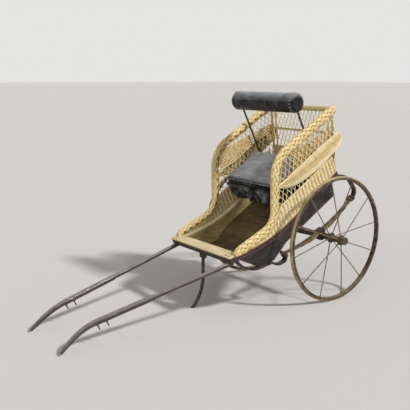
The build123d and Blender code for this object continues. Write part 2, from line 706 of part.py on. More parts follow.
# Half-elliptic springs on the axle, their leaves bent to one curve
seat_rise = AXLE_SIZE / 2
SPRING_HALF_SPAN = BODY_REACH * SPRING_SPAN_SHARE
leaf_radius = (SPRING_HALF_SPAN**2 + SPRING_CAMBER**2) / (2 * SPRING_CAMBER)
pack_thickness = LEAF_COUNT * LEAF_THICKNESS
pack_centre_w = seat_rise + leaf_radius
spring_eye_w = pack_centre_w - cos(SPRING_HALF_SPAN / leaf_radius) * (leaf_radius - pack_thickness)
spring_eye_u = sin(SPRING_HALF_SPAN / leaf_radius) * (leaf_radius - pack_thickness)
for name, side in SIDES.items():
    spring_face = side * (SPRING_Y + SPRING_WIDTH / 2)
    with BuildPart() as spring:
        for leaf in range(LEAF_COUNT):
            outer = leaf_radius - leaf * LEAF_THICKNESS
            inner = outer - LEAF_THICKNESS
            reach = SPRING_HALF_SPAN * (1 - (LEAF_COUNT - 1 - leaf) * LEAF_STEP_SHARE)
            half = degrees(reach / leaf_radius)
            with BuildSketch(body_plane(spring_face)):
                with BuildLine():
                    low = CenterArc((0, pack_centre_w), outer, -90 - half, 2 * half)
                    high = CenterArc((0, pack_centre_w), inner, -90 - half, 2 * half)
                    Line(low @ 0, high @ 0)
                    Line(low @ 1, high @ 1)
                make_face()
            extrude(amount=side * SPRING_WIDTH)
        with BuildSketch(body_plane(spring_face)):
            with Locations((spring_eye_u, spring_eye_w), (-spring_eye_u, spring_eye_w)):
                Circle(EYE_RADIUS)
        extrude(amount=side * SPRING_WIDTH)
        with BuildSketch(body_plane(spring_face)):
            with Locations((spring_eye_u, spring_eye_w), (-spring_eye_u, spring_eye_w)):
                Circle(EYE_PIN_RADIUS + RUNNING_GAP)
        extrude(amount=side * SPRING_WIDTH, mode=Mode.SUBTRACT)
    finish(spring.part, f"spring_{name}")

plate_half = AXLE_SIZE / 2 + 2 * CLIP_ROD_RADIUS + 2 * REST_GAP
plate_lift = plate_half**2 / (2 * (leaf_radius - pack_thickness))

# Spring clips: a plate over the leaves, a plate under the axle and four rods between
with BuildPart() as spring_clips:
    for side in SIDES.values():
        for rod_u in (1, -1):
            for rod_y in (1, -1):
                rod_x = rod_u * (AXLE_SIZE / 2 + CLIP_ROD_RADIUS + REST_GAP)
                y = side * SPRING_Y + rod_y * (SPRING_WIDTH / 2 + CLIP_ROD_RADIUS + REST_GAP)
                base = body_to_cart(rod_x, y, -AXLE_SIZE / 2 - CLIP_PLATE_THICKNESS)
                with BuildSketch(Plane(origin=base, x_dir=(0, 1, 0), z_dir=(SIN, 0, COS))):
                    Circle(CLIP_ROD_RADIUS)
                extrude(amount=AXLE_SIZE + pack_thickness + plate_lift + 2 * CLIP_PLATE_THICKNESS)
        over_leaves = seat_rise + pack_thickness + plate_lift
        for level in (-AXLE_SIZE / 2 - CLIP_PLATE_THICKNESS, over_leaves):
            base = body_to_cart(0, side * SPRING_Y, level)
            with BuildSketch(Plane(origin=base, x_dir=(COS, 0, -SIN), z_dir=(SIN, 0, COS))):
                RectangleRounded(
                    2 * plate_half,
                    SPRING_WIDTH + 4 * CLIP_ROD_RADIUS + 4 * REST_GAP,
                    CLIP_ROD_RADIUS,
                )
            extrude(amount=CLIP_PLATE_THICKNESS)
finish(spring_clips.part, "spring_clips")

# Scroll irons: each curls round to a forked end that holds the spring's eye on a pin
for name, side in SIDES.items():
    for iron_name, rows in (("front", FRONT_IRON_SHARES), ("rear", REAR_IRON_SHARES)):
        eye_u = spring_eye_u if iron_name == "front" else -spring_eye_u
        curl_end = run_end(rows, -1)
        fork = hypot(curl_end[0] - eye_u, curl_end[1] - spring_eye_w)
        fork_root = (
            eye_u + (curl_end[0] - eye_u) * CHEEK_LENGTH / fork,
            spring_eye_w + (curl_end[1] - spring_eye_w) * CHEEK_LENGTH / fork,
        )
        outer_face = side * (SPRING_Y + IRON_WIDTH / 2)
        with BuildPart() as iron:
            with BuildSketch(body_plane(outer_face)):
                with BuildLine():
                    run_edges(rows)
                    Line(curl_end, (eye_u, spring_eye_w))
                trace(line_width=IRON_THICKNESS)
                with Locations((eye_u, spring_eye_w)):
                    Circle(EYE_RADIUS + LEAF_THICKNESS + REST_GAP, mode=Mode.SUBTRACT)
            extrude(amount=side * IRON_WIDTH)
            add(sills[side], mode=Mode.SUBTRACT)
            for cheek_y, way in ((outer_face, -side), (outer_face - side * IRON_WIDTH, side)):
                with BuildSketch(body_plane(cheek_y)):
                    with BuildLine():
                        Line(fork_root, (eye_u, spring_eye_w))
                    trace(line_width=2 * CHEEK_RADIUS)
                    with Locations((eye_u, spring_eye_w)):
                        Circle(CHEEK_RADIUS)
                extrude(amount=way * CHEEK_THICKNESS)
            with BuildSketch(body_plane(outer_face)):
                with Locations((eye_u, spring_eye_w)):
                    Circle(EYE_PIN_RADIUS)
            extrude(amount=side * IRON_WIDTH)
        finish(iron.part, f"{iron_name}_iron_{name}")

# Shafts: rear pole, thicker front pole past the splice, and the bent tapering tip
for name, side in SIDES.items():
    root, bend, tip = [
        body_to_cart(u, side * y, w) for u, y, w in (SHAFT_ROOT, SHAFT_BEND, SHAFT_TIP)
    ]
    to_bend = (bend - root).normalized()
    to_tip = (tip - bend).normalized()
    turn = radians(to_bend.get_angle(to_tip))
    tangent_length = SHAFT_BEND_RADIUS * tan(turn / 2)
    arc_start = bend - to_bend * tangent_length
    splice = root + (bend - root) * SPLICE_SHARE
    with BuildPart() as shaft:
        with BuildSketch(Plane(origin=root, z_dir=to_bend)):
            Circle(SHAFT_REAR_RADIUS)
        extrude(amount=(splice - root).length)
        with BuildSketch(Plane(origin=splice, z_dir=to_bend)):
            Circle(SHAFT_FRONT_RADIUS)
        extrude(amount=(arc_start - splice).length)
        bend_normal = to_bend.cross(to_tip).normalized()
        arc_centre = arc_start + bend_normal.cross(to_bend) * SHAFT_BEND_RADIUS
        for step, share in enumerate(SHAFT_TAPER_SHARES):
            part_turn = degrees(turn) * step / (len(SHAFT_TAPER_SHARES) - 1)
            heading = to_bend.rotate(Axis((0, 0, 0), bend_normal), part_turn)
            station = arc_centre - bend_normal.cross(heading) * SHAFT_BEND_RADIUS
            with BuildSketch(Plane(origin=station, x_dir=bend_normal, z_dir=heading)):
                Circle(SHAFT_FRONT_RADIUS * share)
        with BuildSketch(Plane(origin=tip, x_dir=bend_normal, z_dir=to_tip)):
            Circle(SHAFT_TIP_RADIUS)
        loft()
        down = Vector(-SIN, 0, -COS)
        for share in TUG_PIN_SHARES:
            base = root + (bend - root) * share
            with BuildSketch(Plane(origin=base, z_dir=down)):
                Circle(TUG_PIN_RADIUS)
            extrude(amount=SHAFT_FRONT_RADIUS + TUG_PIN_LENGTH)
            with BuildSketch(Plane(origin=base, z_dir=down)):
                Circle(TUG_COLLAR_RADIUS)
            extrude(amount=SHAFT_FRONT_RADIUS + TUG_COLLAR_LENGTH)
        add(front_cross_bar.part, mode=Mode.SUBTRACT)
        add(sills[side], mode=Mode.SUBTRACT)
    finish(shaft.part, f"shaft_{name}")

# Prop leg: a round iron with an eye on top, curling forward to its foot
curl = radians(LEG_CURL_ANGLE)
bar_edge = body_to_cart(sill_front[0], 0, sill_front[1] + SILL_DEPTH - CROSS_BAR_DEPTH)
leg_x = bar_edge.X + LEG_AHEAD
leg_pivot_z = bar_edge.Z - LEG_PIVOT_DROP
leg_foot_x = leg_x + LEG_CURL_RADIUS * (1 - cos(curl))
curl_top = LEG_CURL_RADIUS * sin(curl)
ear_plane = Plane(origin=(leg_x, 0, leg_pivot_z), x_dir=(1, 0, 0), z_dir=(0, -1, 0))
with BuildPart() as prop_leg:
    with BuildSketch(Plane.XY.offset(leg_pivot_z)):
        with Locations((leg_x, 0)):
            Circle(LEG_RADIUS)
    extrude(amount=-(leg_pivot_z - curl_top))
    with BuildLine(Plane(origin=(leg_x, 0, 0), x_dir=(1, 0, 0), z_dir=(0, -1, 0))) as foot_line:
        foot_arc = CenterArc((LEG_CURL_RADIUS, curl_top), LEG_CURL_RADIUS, 180, LEG_CURL_ANGLE)
        Line(foot_arc @ 1, (foot_arc @ 1) + (foot_arc % 1) * 2 * LEG_RADIUS)
    with BuildSketch(Plane(origin=(leg_x, 0, curl_top), z_dir=(0, 0, -1))):
        Circle(LEG_RADIUS)
    sweep(path=foot_line.wires()[0])
    with BuildSketch(ear_plane):
        Circle(LEG_EYE_RADIUS)
    extrude(amount=LEG_EYE_WIDTH / 2, both=True)
    with BuildSketch(ear_plane):
        Circle(LEG_PIN_RADIUS + RUNNING_GAP)
    extrude(amount=LEG_EYE_WIDTH, both=True, mode=Mode.SUBTRACT)
    with BuildSketch(Plane.XY):
        with Locations((leg_foot_x, 0)):
            Rectangle(LEG_CURL_RADIUS, LEG_CURL_RADIUS)
    extrude(amount=-LEG_CURL_RADIUS, mode=Mode.SUBTRACT)
finish(prop_leg.part, "prop_leg")

# Leg bracket: two ears with a pin, under a plate on the cross bar
ear_start = LEG_EYE_WIDTH / 2 + REST_GAP
ear_width = 2 * LEG_EYE_RADIUS
ear_height = 3 * LEG_EYE_RADIUS
with BuildPart() as leg_bracket:
    for direction in SIDES.values():
        with BuildSketch(ear_plane.offset(direction * ear_start)):
            Circle(LEG_EYE_RADIUS)
            with Locations((0, ear_height / 2)):
                Rectangle(ear_width, ear_height)
        extrude(amount=direction * BRACKET_EAR_THICKNESS)
    with BuildSketch(ear_plane.offset(-ear_start - BRACKET_EAR_THICKNESS)):
        Circle(LEG_PIN_RADIUS)
    extrude(amount=2 * (ear_start + BRACKET_EAR_THICKNESS))
    add(front_cross_bar.part, mode=Mode.SUBTRACT)
    add(front_board.part, mode=Mode.SUBTRACT)
finish(leg_bracket.part, "leg_bracket")

# Wheels: tyre in a channel rim, wire spokes laced to two hub flanges
rim_outer = WHEEL_RADIUS - TYRE_DEPTH + RIM_DEPTH - RIM_WALL
rim_inner = WHEEL_RADIUS - TYRE_DEPTH - RIM_WALL
for name, side in SIDES.items():
    wheel_centre = (AXLE_X, side * WHEEL_Y, WHEEL_RADIUS)
    section = Plane(origin=wheel_centre, x_dir=(0, 1, 0), z_dir=(-1, 0, 0))
    wheel_axis = Axis((AXLE_X, 0, WHEEL_RADIUS), (0, 1, 0))
    channel = TYRE_WIDTH / 2 - RIM_WALL
    with BuildPart() as rim:
        with BuildSketch(section):
            with BuildLine():
                Polyline(
                    (-TYRE_WIDTH / 2, rim_inner), (TYRE_WIDTH / 2, rim_inner),
                    (TYRE_WIDTH / 2, rim_outer), (channel, rim_outer),
                    (channel, rim_inner + RIM_WALL), (-channel, rim_inner + RIM_WALL),
                    (-channel, rim_outer), (-TYRE_WIDTH / 2, rim_outer), close=True,
                )
            make_face()
        revolve(axis=wheel_axis)
    finish(rim.part, f"rim_{name}")
    with BuildPart() as tyre:
        with BuildSketch(section):
            with BuildLine():
                Polyline(
                    (-channel, rim_outer), (-channel, rim_inner + RIM_WALL),
                    (channel, rim_inner + RIM_WALL), (channel, rim_outer),
                )
                ThreePointArc((channel, rim_outer), (0, WHEEL_RADIUS), (-channel, rim_outer))
            make_face()
        revolve(axis=wheel_axis)
    finish(tyre.part, f"tyre_{name}")
    hub_plane = Plane(origin=(AXLE_X, 0, WHEEL_RADIUS), x_dir=(1, 0, 0), z_dir=(0, side, 0))
    flange_middle = WHEEL_Y + HUB_OFFSET - HUB_CAP_LENGTH / 2
    flanges = (flange_middle - FLANGE_SPREAD / 2, flange_middle + FLANGE_SPREAD / 2)
    with BuildPart() as hub:
        with BuildSketch(hub_plane.offset(hub_inner)):
            Circle(HUB_RADIUS)
        extrude(amount=HUB_LENGTH - HUB_CAP_LENGTH)
        with BuildSketch(hub_plane.offset(hub_outer - HUB_CAP_LENGTH)):
            Circle(HUB_CAP_RADIUS)
        extrude(amount=HUB_CAP_LENGTH)
        for flange in flanges:
            with BuildSketch(hub_plane.offset(flange - FLANGE_WIDTH / 2)):
                Circle(FLANGE_RADIUS)
            extrude(amount=FLANGE_WIDTH)
        with BuildSketch(hub_plane.offset(hub_inner)):
            Circle(SPINDLE_RADIUS + RUNNING_GAP)
        extrude(amount=spindle_end + REST_GAP - hub_inner, mode=Mode.SUBTRACT)
    finish(hub.part, f"hub_{name}")
    with BuildPart() as spokes:
        for index in range(SPOKE_COUNT):
            angle = radians(FIRST_SPOKE + index * 360 / SPOKE_COUNT)
            flange = flanges[(index + 1) % 2]
            spread = Vector(cos(angle), 0, sin(angle))
            inner = Vector(AXLE_X, side * flange, WHEEL_RADIUS) + spread * HUB_RADIUS
            outer = Vector(*wheel_centre) + spread * (rim_inner + RIM_WALL / 2)
            with BuildSketch(Plane(origin=inner, z_dir=outer - inner)):
                Circle(SPOKE_RADIUS)
            extrude(amount=(outer - inner).length)
        add(hub.part, mode=Mode.SUBTRACT)
        add(rim.part, mode=Mode.SUBTRACT)
    finish(spokes.part, f"spokes_{name}")
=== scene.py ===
# %% [markdown]
# # A small wicker driving cart
# The cart was measured and packed as solids first. This file dresses those solids: the wicker
# walls, braids and arm rolls are woven strand by strand, the leather is blown up with cloth, and
# the wood and iron keep their solids and get worn finishes. Each cell below makes one thing.
#
# The frame comes first. It gives the solids in metres, in the place where the cart is parked.

# %% Load the frame
import random
from math import atan2, ceil, cos, pi, radians, sin, tan

import bmesh
import bpy
from mathutils import Matrix, Vector
from mathutils.bvhtree import BVHTree


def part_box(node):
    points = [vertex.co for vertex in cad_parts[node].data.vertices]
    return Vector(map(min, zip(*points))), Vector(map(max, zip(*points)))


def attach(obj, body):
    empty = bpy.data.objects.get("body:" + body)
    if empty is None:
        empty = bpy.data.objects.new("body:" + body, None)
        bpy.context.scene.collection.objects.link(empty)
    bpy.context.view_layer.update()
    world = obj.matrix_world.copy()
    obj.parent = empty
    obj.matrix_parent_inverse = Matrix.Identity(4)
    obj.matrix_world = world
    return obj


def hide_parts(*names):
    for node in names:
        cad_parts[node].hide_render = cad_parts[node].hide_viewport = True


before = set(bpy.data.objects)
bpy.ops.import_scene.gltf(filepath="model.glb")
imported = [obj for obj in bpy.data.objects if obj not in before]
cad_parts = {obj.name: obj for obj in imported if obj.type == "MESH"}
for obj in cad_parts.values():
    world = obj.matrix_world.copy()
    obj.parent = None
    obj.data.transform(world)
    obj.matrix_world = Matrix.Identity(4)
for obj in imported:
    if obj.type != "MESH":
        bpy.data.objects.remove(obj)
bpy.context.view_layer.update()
bpy.ops.object.select_all(action="DESELECT")

# %% [markdown]
# The body was built standing upright and then tipped nose down about the axle. It is easier to
# weave in that upright frame, so every woven mesh is made there and turned into the parked frame
# at the end by one matrix. In the upright frame u runs forward, y to the left and w up, all
# measured from the middle of the axle.

# %% The body's upright frame
PITCH = radians(25.0)
wheel_low, wheel_high = (Vector(corner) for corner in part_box("tyre_left"))
axle_point = Vector(((wheel_low.x + wheel_high.x) / 2, 0.0, (wheel_low.z + wheel_high.z) / 2))
to_cart = Matrix.Translation(axle_point) @ Matrix.Rotation(PITCH, 4, "Y")
SIDES = {"left": 1, "right": -1}
MM = 0.001
print("axle at", [round(value, 4) for value in axle_point])


def level(u, y, w):
    """A point of the upright frame, given in millimetres, in metres."""
    return Vector((u * MM, y * MM, w * MM))


# %% [markdown]
# The camera stands where the photographer stood. Its place, angle and lens come from the two
# wheels, which are circles of known size, so the cart's solids fall on the photograph without
# fitting. The picture is square.

# %% Camera
CAMERA_PLACE = Vector((1.8300, 2.4493, 1.0807))
CAMERA_TURN = radians(233.6)
CAMERA_DIP = radians(10.94)
CAMERA_ROLL = 0.0021
SENSOR = 36.0
PICTURE_SIZE = 410
FOCAL_PIXELS = 656.33

forward = Vector((
    cos(CAMERA_TURN) * cos(CAMERA_DIP), sin(CAMERA_TURN) * cos(CAMERA_DIP), -sin(CAMERA_DIP)
))
right = forward.cross(Vector((0, 0, 1))).normalized()
upward = right.cross(forward)
camera_turn = Matrix((right, upward, -forward)).transposed() @ Matrix.Rotation(CAMERA_ROLL, 3, "Z")
lens = bpy.data.cameras.new("camera")
lens.sensor_width = SENSOR
lens.lens = SENSOR * FOCAL_PIXELS / PICTURE_SIZE
camera = bpy.data.objects.new("camera", lens)
camera.matrix_world = Matrix.Translation(CAMERA_PLACE) @ camera_turn.to_4x4()
bpy.context.collection.objects.link(camera)
bpy.context.scene.camera = camera
print("lens", round(lens.lens, 2), "mm")

# %% [markdown]
# Every finish below is built from the same few moves: a noise stretched along the grain, a colour
# ramp over it, a mix of two colours and a bump. This small maker keeps those moves short to write.
# A pattern reads Object coordinates on a solid, and the strand's own UV map and tone on wicker, so
# that streaks run along each strand and no two strands have quite the same colour.

# %% The maker of finishes


def colour(code):
    """The linear colour of a six-figure colour code."""
    parts = [int(code[start:start + 2], 16) / 255 for start in (0, 2, 4)]
    linear = (p / 12.92 if p <= 0.04045 else ((p + 0.055) / 1.055) ** 2.4 for p in parts)
    return (*linear, 1.0)


def feed(socket, value):
    """Gives a socket a number, a colour code or what another node puts out."""
    if isinstance(value, bpy.types.NodeSocket):
        socket.id_data.links.new(value, socket)
    else:
        socket.default_value = colour(value) if isinstance(value, str) else value


def add_node(tree, kind, *inputs, **named):
    """A new node whose sockets are fed in order or by name."""
    node = tree.nodes.new(kind)
    for socket, value in zip(node.inputs, inputs):
        feed(socket, value)
    for name, value in named.items():
        feed(node.inputs[name], value)
    return node


def math_node(tree, operation, first, second):
    node = add_node(tree, "ShaderNodeMath", first, second)
    node.operation = operation
    return node.outputs[0]


class Finish:
    """A material with the moves that its surface needs."""

    def __init__(self, name, roughness, metallic=0.0, coat=0.0, specular=0.5):
        self.material = bpy.data.materials.new(name)
        self.material.use_nodes = True
        self.tree = self.material.node_tree
        self.sockets = self.tree.nodes["Principled BSDF"].inputs
        feed(self.sockets["Roughness"], roughness)
        feed(self.sockets["Metallic"], metallic)
        feed(self.sockets["Coat Weight"], coat)
        feed(self.sockets["Specular IOR Level"], specular)
        self.places = add_node(self.tree, "ShaderNodeTexCoord").outputs

    def place(self, source="Object", stretch=(1, 1, 1)):
        node = add_node(self.tree, "ShaderNodeMapping", self.places[source], Scale=stretch)
        return node.outputs["Vector"]

    def split(self, source):
        """The X, Y and Z of a place or of the way a face looks."""
        return add_node(self.tree, "ShaderNodeSeparateXYZ", self.places[source]).outputs

    def noise(self, vector, scale, detail=4.0, roughness=0.6, distortion=0.0):
        values = {"Detail": detail, "Roughness": roughness, "Distortion": distortion}
        node = add_node(self.tree, "ShaderNodeTexNoise", vector, Scale=scale, **values)
        return node.outputs["Fac"]

    def ramp(self, factor, *stops):
        node = add_node(self.tree, "ShaderNodeValToRGB", factor)
        ramp = node.color_ramp
        while len(ramp.elements) < len(stops):
            ramp.elements.new(0.5)
        for element, (place, shade) in zip(ramp.elements, stops):
            element.position = place
            element.color = colour(shade) if isinstance(shade, str) else (shade, shade, shade, 1)
        return node.outputs["Color"]

    def sums(self, operation, first, second):
        return math_node(self.tree, operation, first, second)

    def mix(self, factor, first, second):
        node = add_node(self.tree, "ShaderNodeMix")
        node.data_type = "RGBA"
        for socket, value in zip((0, 6, 7), (factor, first, second)):
            feed(node.inputs[socket], value)
        return node.outputs[2]

    def paint(self, shade):
        feed(self.sockets["Base Color"], shade)

    def bump(self, height, distance):
        node = add_node(self.tree, "ShaderNodeBump", Height=height, Distance=distance, Strength=1.0)
        feed(self.sockets["Normal"], node.outputs[0])


def dress(finish, *nodes):
    """Gives solids of the frame a finish."""
    for name in nodes:
        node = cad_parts[name]
        node.data.materials.clear()
        node.data.materials.append(finish.material)


# %% [markdown]
# The room is a pale floor and two lamps in an even pale world. The main lamp stands high on the
# right, as in the photograph, and its direction sets where the wheel's shadow falls. The other is
# wide and weak and lifts the shaded side. Both are suns, so the floor is lit evenly as far as it
# can be seen. The world's colour for the camera and for mirrors is set apart from its light, so a
# pale room doesn't bleach the cart.

# %% Floor, lamps and world
FLOOR_SIZE = 300.0
FLOOR_COLOUR = (0.66, 0.64, 0.61)
FLOOR_ROUGHNESS = 0.9
ROOM_COLOUR = (0.78, 0.775, 0.765)
WORLD_LIGHT = 0.29
KEY_FROM = Vector((-0.36, 0.67, 0.70))
KEY_SOFTNESS = radians(6)
KEY_STRENGTH = 2.65
FILL_FROM = Vector((0.95, 0.35, 0.55))
FILL_SOFTNESS = radians(60)
FILL_STRENGTH = 0.6

bpy.context.scene.view_settings.view_transform = "Standard"
bpy.ops.mesh.primitive_plane_add(size=FLOOR_SIZE, location=(0, 0, 0))
floor = bpy.context.object
floor.name = "floor"
floor_finish = Finish("floor_finish", FLOOR_ROUGHNESS)
floor_finish.paint((*FLOOR_COLOUR, 1))
floor.data.materials.append(floor_finish.material)


def sun_lamp(name, direction_from, softness, strength):
    """A sun that shines from a direction and looks as wide as its softness."""
    data = bpy.data.lights.new(name, "SUN")
    data.angle = softness
    data.energy = strength
    lamp = bpy.data.objects.new(name, data)
    lamp.rotation_euler = (-direction_from).to_track_quat("-Z", "Y").to_euler()
    bpy.context.collection.objects.link(lamp)


sun_lamp("key_lamp", KEY_FROM, KEY_SOFTNESS, KEY_STRENGTH)
sun_lamp("fill_lamp", FILL_FROM, FILL_SOFTNESS, FILL_STRENGTH)
world = bpy.data.worlds.new("room")
world.use_nodes = True
bpy.context.scene.world = world
room = world.node_tree
room_light = room.nodes["Background"]
feed(room_light.inputs["Color"], (1, 1, 1, 1))
feed(room_light.inputs["Strength"], WORLD_LIGHT)
room_seen = add_node(room, "ShaderNodeBackground", (*ROOM_COLOUR, 1))
ray = add_node(room, "ShaderNodeLightPath").outputs
seen = math_node(room, "MAXIMUM", ray["Is Camera Ray"], ray["Is Glossy Ray"])
choice = add_node(room, "ShaderNodeMixShader", seen, room_light.outputs[0], room_seen.outputs[0])
feed(room.nodes["World Output"].inputs["Surface"], choice.outputs[0])
print("lamps from", tuple(KEY_FROM), tuple(FILL_FROM))

# %% [markdown]
# Willow and cane are pale where they are new and clean and ochre where varnish has yellowed. Each
# strand carries a number called tone, from dark to pale, which also paints shade: it is set darker
# where strands dip under others, in the valleys of the pleats and in the gaps between them. Thin
# streaks run along it, and small brown flecks break it up.

# %% Wicker finish


def wicker_finish(name, dark, middle, pale, fleck_share):
    """Streaked cane whose strands differ in tone, with brown flecks."""
    finish = Finish(name, roughness=0.5, coat=0.08)
    tone = add_node(finish.tree, "ShaderNodeAttribute")
    tone.attribute_name = "tone"
    shade = tone.outputs["Fac"]
    streaks = finish.noise(finish.place("UV", (70, 5, 1)), 1.0, detail=3)
    patches = finish.noise(finish.place(), 38.0, detail=3)
    for pattern, amount in ((streaks, 0.7), (patches, 0.6)):
        change = finish.sums("MULTIPLY", finish.sums("SUBTRACT", pattern, 0.5), amount)
        shade = finish.sums("ADD", shade, change)
    body = finish.ramp(shade, (0.0, dark), (0.45, middle), (0.95, pale))
    specks = finish.noise(finish.place(), 210.0, detail=2)
    flecks = finish.ramp(specks, (fleck_share, 1.0), (fleck_share + 0.07, 0.0))
    finish.paint(finish.mix(flecks, body, finish.mix(0.65, body, dark)))
    finish.bump(streaks, 0.0006)
    return finish


cane = wicker_finish("cane", "7A5828", "CBAE6E", "EFDFB2", 0.30)
braid = wicker_finish("braid", "7A5222", "C8A256", "ECD69C", 0.35)
print("wicker finishes:", cane.material.name, braid.material.name)

# %% [markdown]
# No tool in the edit menus weaves, so strands are the one thing that is made point by point. A
# strand is a flat or round rod laid through a row of points. It has a facing, which is the way
# its flat side looks, a half width and a half thickness. All the strands of one wall go into one
# mesh. Each carries its tone, and its UV map runs along it, so the streaks follow every bend.

# %% The loom
STRAND_SIDES = 6
TONE_SPREAD = 0.1
MAP_DRIFT = 5


class Loom:
    """Gathers strands and makes one piece of them."""

    def __init__(self, name, seed):
        self.name = name
        self.chance = random.Random(seed)
        self.points, self.quads, self.maps, self.tones = [], [], [], []

    def strand(self, line, half_width, half_depth, facing, tone, sides=STRAND_SIDES):
        """Lays one strand; a width, depth, facing or tone is one value or one for each point."""
        start, along = len(self.points), 0.0
        mood = self.chance.uniform(-TONE_SPREAD, TONE_SPREAD)
        drift = self.chance.uniform(0, MAP_DRIFT)
        for index, point in enumerate(line):
            ahead, behind = line[min(index + 1, len(line) - 1)], line[max(index - 1, 0)]
            run = (ahead - behind).normalized()
            face, wide, deep, shade = (
                value[index] if isinstance(value, list) else value
                for value in (facing, half_width, half_depth, tone)
            )
            across = face.cross(run).normalized()
            outward = run.cross(across)
            for side in range(sides):
                angle = 2 * pi * side / sides
                offset = across * wide * cos(angle) + outward * deep * sin(angle)
                self.points.append(point + offset * MM)
                self.tones.append(shade + mood)
            if not index:
                continue
            low, high = start + (index - 1) * sides, start + index * sides
            u0 = drift + along
            along += (point - line[index - 1]).length
            u1 = drift + along
            for side in range(sides):
                after = (side + 1) % sides
                self.quads.append((low + side, low + after, high + after, high + side))
                v0, v1 = side / sides, (side + 1) / sides
                self.maps.append(((u0, v0), (u0, v1), (u1, v1), (u1, v0)))
        last = start + (len(line) - 1) * sides
        for ring, order in ((start, reversed(range(sides))), (last, range(sides))):
            self.quads.append(tuple(ring + side for side in order))
            self.maps.append(((drift, 0.0),) * sides)

    def make(self, finish, stands_for=(), place=to_cart):
        """Turns the strands into a piece in the parked frame."""
        mesh = bpy.data.meshes.new(self.name)
        mesh.from_pydata(self.points, [], self.quads)
        mesh.uv_layers.new(name="along")
        corner_maps = [value for row in self.maps for pair in row for value in pair]
        mesh.uv_layers["along"].data.foreach_set("uv", corner_maps)
        mesh.attributes.new("tone", "FLOAT", "POINT").data.foreach_set("value", self.tones)
        mesh.transform(place)
        mesh.materials.append(finish.material)
        mesh.polygons.foreach_set("use_smooth", [len(quad) == 4 for quad in self.quads])
        mesh.update()
        piece = bpy.data.objects.new(self.name, mesh)
        bpy.context.collection.objects.link(piece)
        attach(piece, "cart_body")
        if stands_for:
            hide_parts(*stands_for)
        print(self.name, "faces:", len(self.quads))
        return piece


# %% [markdown]
# The side of the body is drawn once, in the upright frame: the sill's top edge, the middle of the
# braided border, the top of the close work and the slanted back. Every wall strand is cut to
# these lines. One helper samples a run with rounded corners, which the border needs, and another
# reads a height from a drawn line.

# %% Lines of the side wall
WALL_Y = 227.0
BORDER_CORNERS = ((516.0, 228.3), (252.7, 224.6), (130.1, 502.7), (-313.2, 549.5))
BORDER_HALF = 20.0
BORDER_ROUNDS = (100.0, 140.0)
BORDER_STEP = 7.0
SILL_ARCS = (
    ((531.9, 200.6), (425.0, 175.6), (300.2, 160.2)),
    ((300.2, 160.2), (199.8, 162.5), (99.9, 176.1)),
)
SILL_TAIL = (-210.1, 229.1)
SILL_DEPTH = 24.0
ARC_PARTS = 16
CLOSE_TOP = ((250, 222), (186, 285), (97, 294), (42, 301), (-51, 312), (-140, 326), (-216, 332))
BACK_FOOT = (-210.1, 253.1)
BACK_HEAD = (-305.1, 546.6)


def arc_run(first, middle, last):
    """Points along the circle through three points."""
    a, b, c = Vector(first), Vector(middle), Vector(last)
    rows = ((a, b.y - c.y, c.x - b.x), (b, c.y - a.y, a.x - c.x), (c, a.y - b.y, b.x - a.x))
    scale = 2 * sum(point.x * rise for point, rise, _ in rows)
    x = sum(point.length_squared * rise for point, rise, _ in rows) / scale
    y = sum(point.length_squared * run for point, _, run in rows) / scale
    centre = Vector((x, y))
    start, end = (atan2(*reversed(point - centre)) for point in (a, c))
    sweep = (end - start + pi) % (2 * pi) - pi
    radius = (a - centre).length
    steps = (start + sweep * part / ARC_PARTS for part in range(ARC_PARTS + 1))
    return [(x + radius * cos(angle), y + radius * sin(angle)) for angle in steps]


SILL_LOW = arc_run(*SILL_ARCS[0]) + arc_run(*SILL_ARCS[1])[1:] + [SILL_TAIL]
SILL_TOP = [(u, w + SILL_DEPTH) for u, w in SILL_LOW]


def height_at(line, u):
    """The height of a drawn line at u, between its nearest two points."""
    for (u_a, w_a), (u_b, w_b) in zip(line, line[1:]):
        if min(u_a, u_b) <= u <= max(u_a, u_b):
            return w_a + (w_b - w_a) * (u - u_a) / (u_b - u_a)
    return line[0][1] if u > line[0][0] else line[-1][1]


def rounded_run(corners, rounds, step):
    """Points along straight runs whose corners are rounded."""
    run = [Vector(corners[0])]
    for before, corner, after, radius in zip(corners, corners[1:], corners[2:], rounds):
        corner = Vector(corner)
        arrive = (corner - Vector(before)).normalized()
        leave = (Vector(after) - corner).normalized()
        turn = arrive.angle(leave)
        reach = radius * tan(turn / 2)
        run.append(corner - arrive * reach)
        way = 1 if arrive.cross(leave) > 0 else -1
        centre = run[-1] + Vector((-arrive.y, arrive.x)) * way * radius
        x, y = run[-1] - centre
        parts = ceil(turn * radius / step)
        for part in range(1, parts):
            angle = way * turn * part / parts
            turned = (x * cos(angle) - y * sin(angle), x * sin(angle) + y * cos(angle))
            run.append(centre + Vector(turned))
        run.append(corner + leave * reach)
    run.append(Vector(corners[-1]))
    return run


def even_run(run, step):
    """The same run with its points a step apart."""
    even, wait = [run[0]], 0.0
    for a, b in zip(run, run[1:]):
        length, place = (b - a).length, step - wait
        while place <= length:
            even.append(a + (b - a) * place / length)
            place += step
        wait = (wait + length) % step
    return even


border_line = even_run(rounded_run(BORDER_CORNERS, BORDER_ROUNDS, 6.0), BORDER_STEP)
print("border of", round(BORDER_STEP * (len(border_line) - 1)), "mm in", len(border_line), "points")


# %% [markdown]
# The open part of each side is a lattice of thin cane in tall diamonds. Two families of strands
# lean opposite ways and pass over and under each other. Each strand starts at the sill and runs
# up to the border, so the lattice is also there behind the close work and the arm roll, and its
# crossings show as small dark triangles in the gap between them.

# %% Lattice of the sides
DIAMOND_WIDTH = 29.0
DIAMOND_HEIGHT = 50.0
CANE_RADIUS = 1.9
LATTICE_STEP = 7.0
LATTICE_FRONT = 252
SIDE_AREA = (-300, LATTICE_FRONT, 186, 552)
UP_Y = Vector((0, 1, 0))
wall_outline = [tuple(p) for p in border_line] + [BACK_HEAD] + SILL_TOP[::-1]


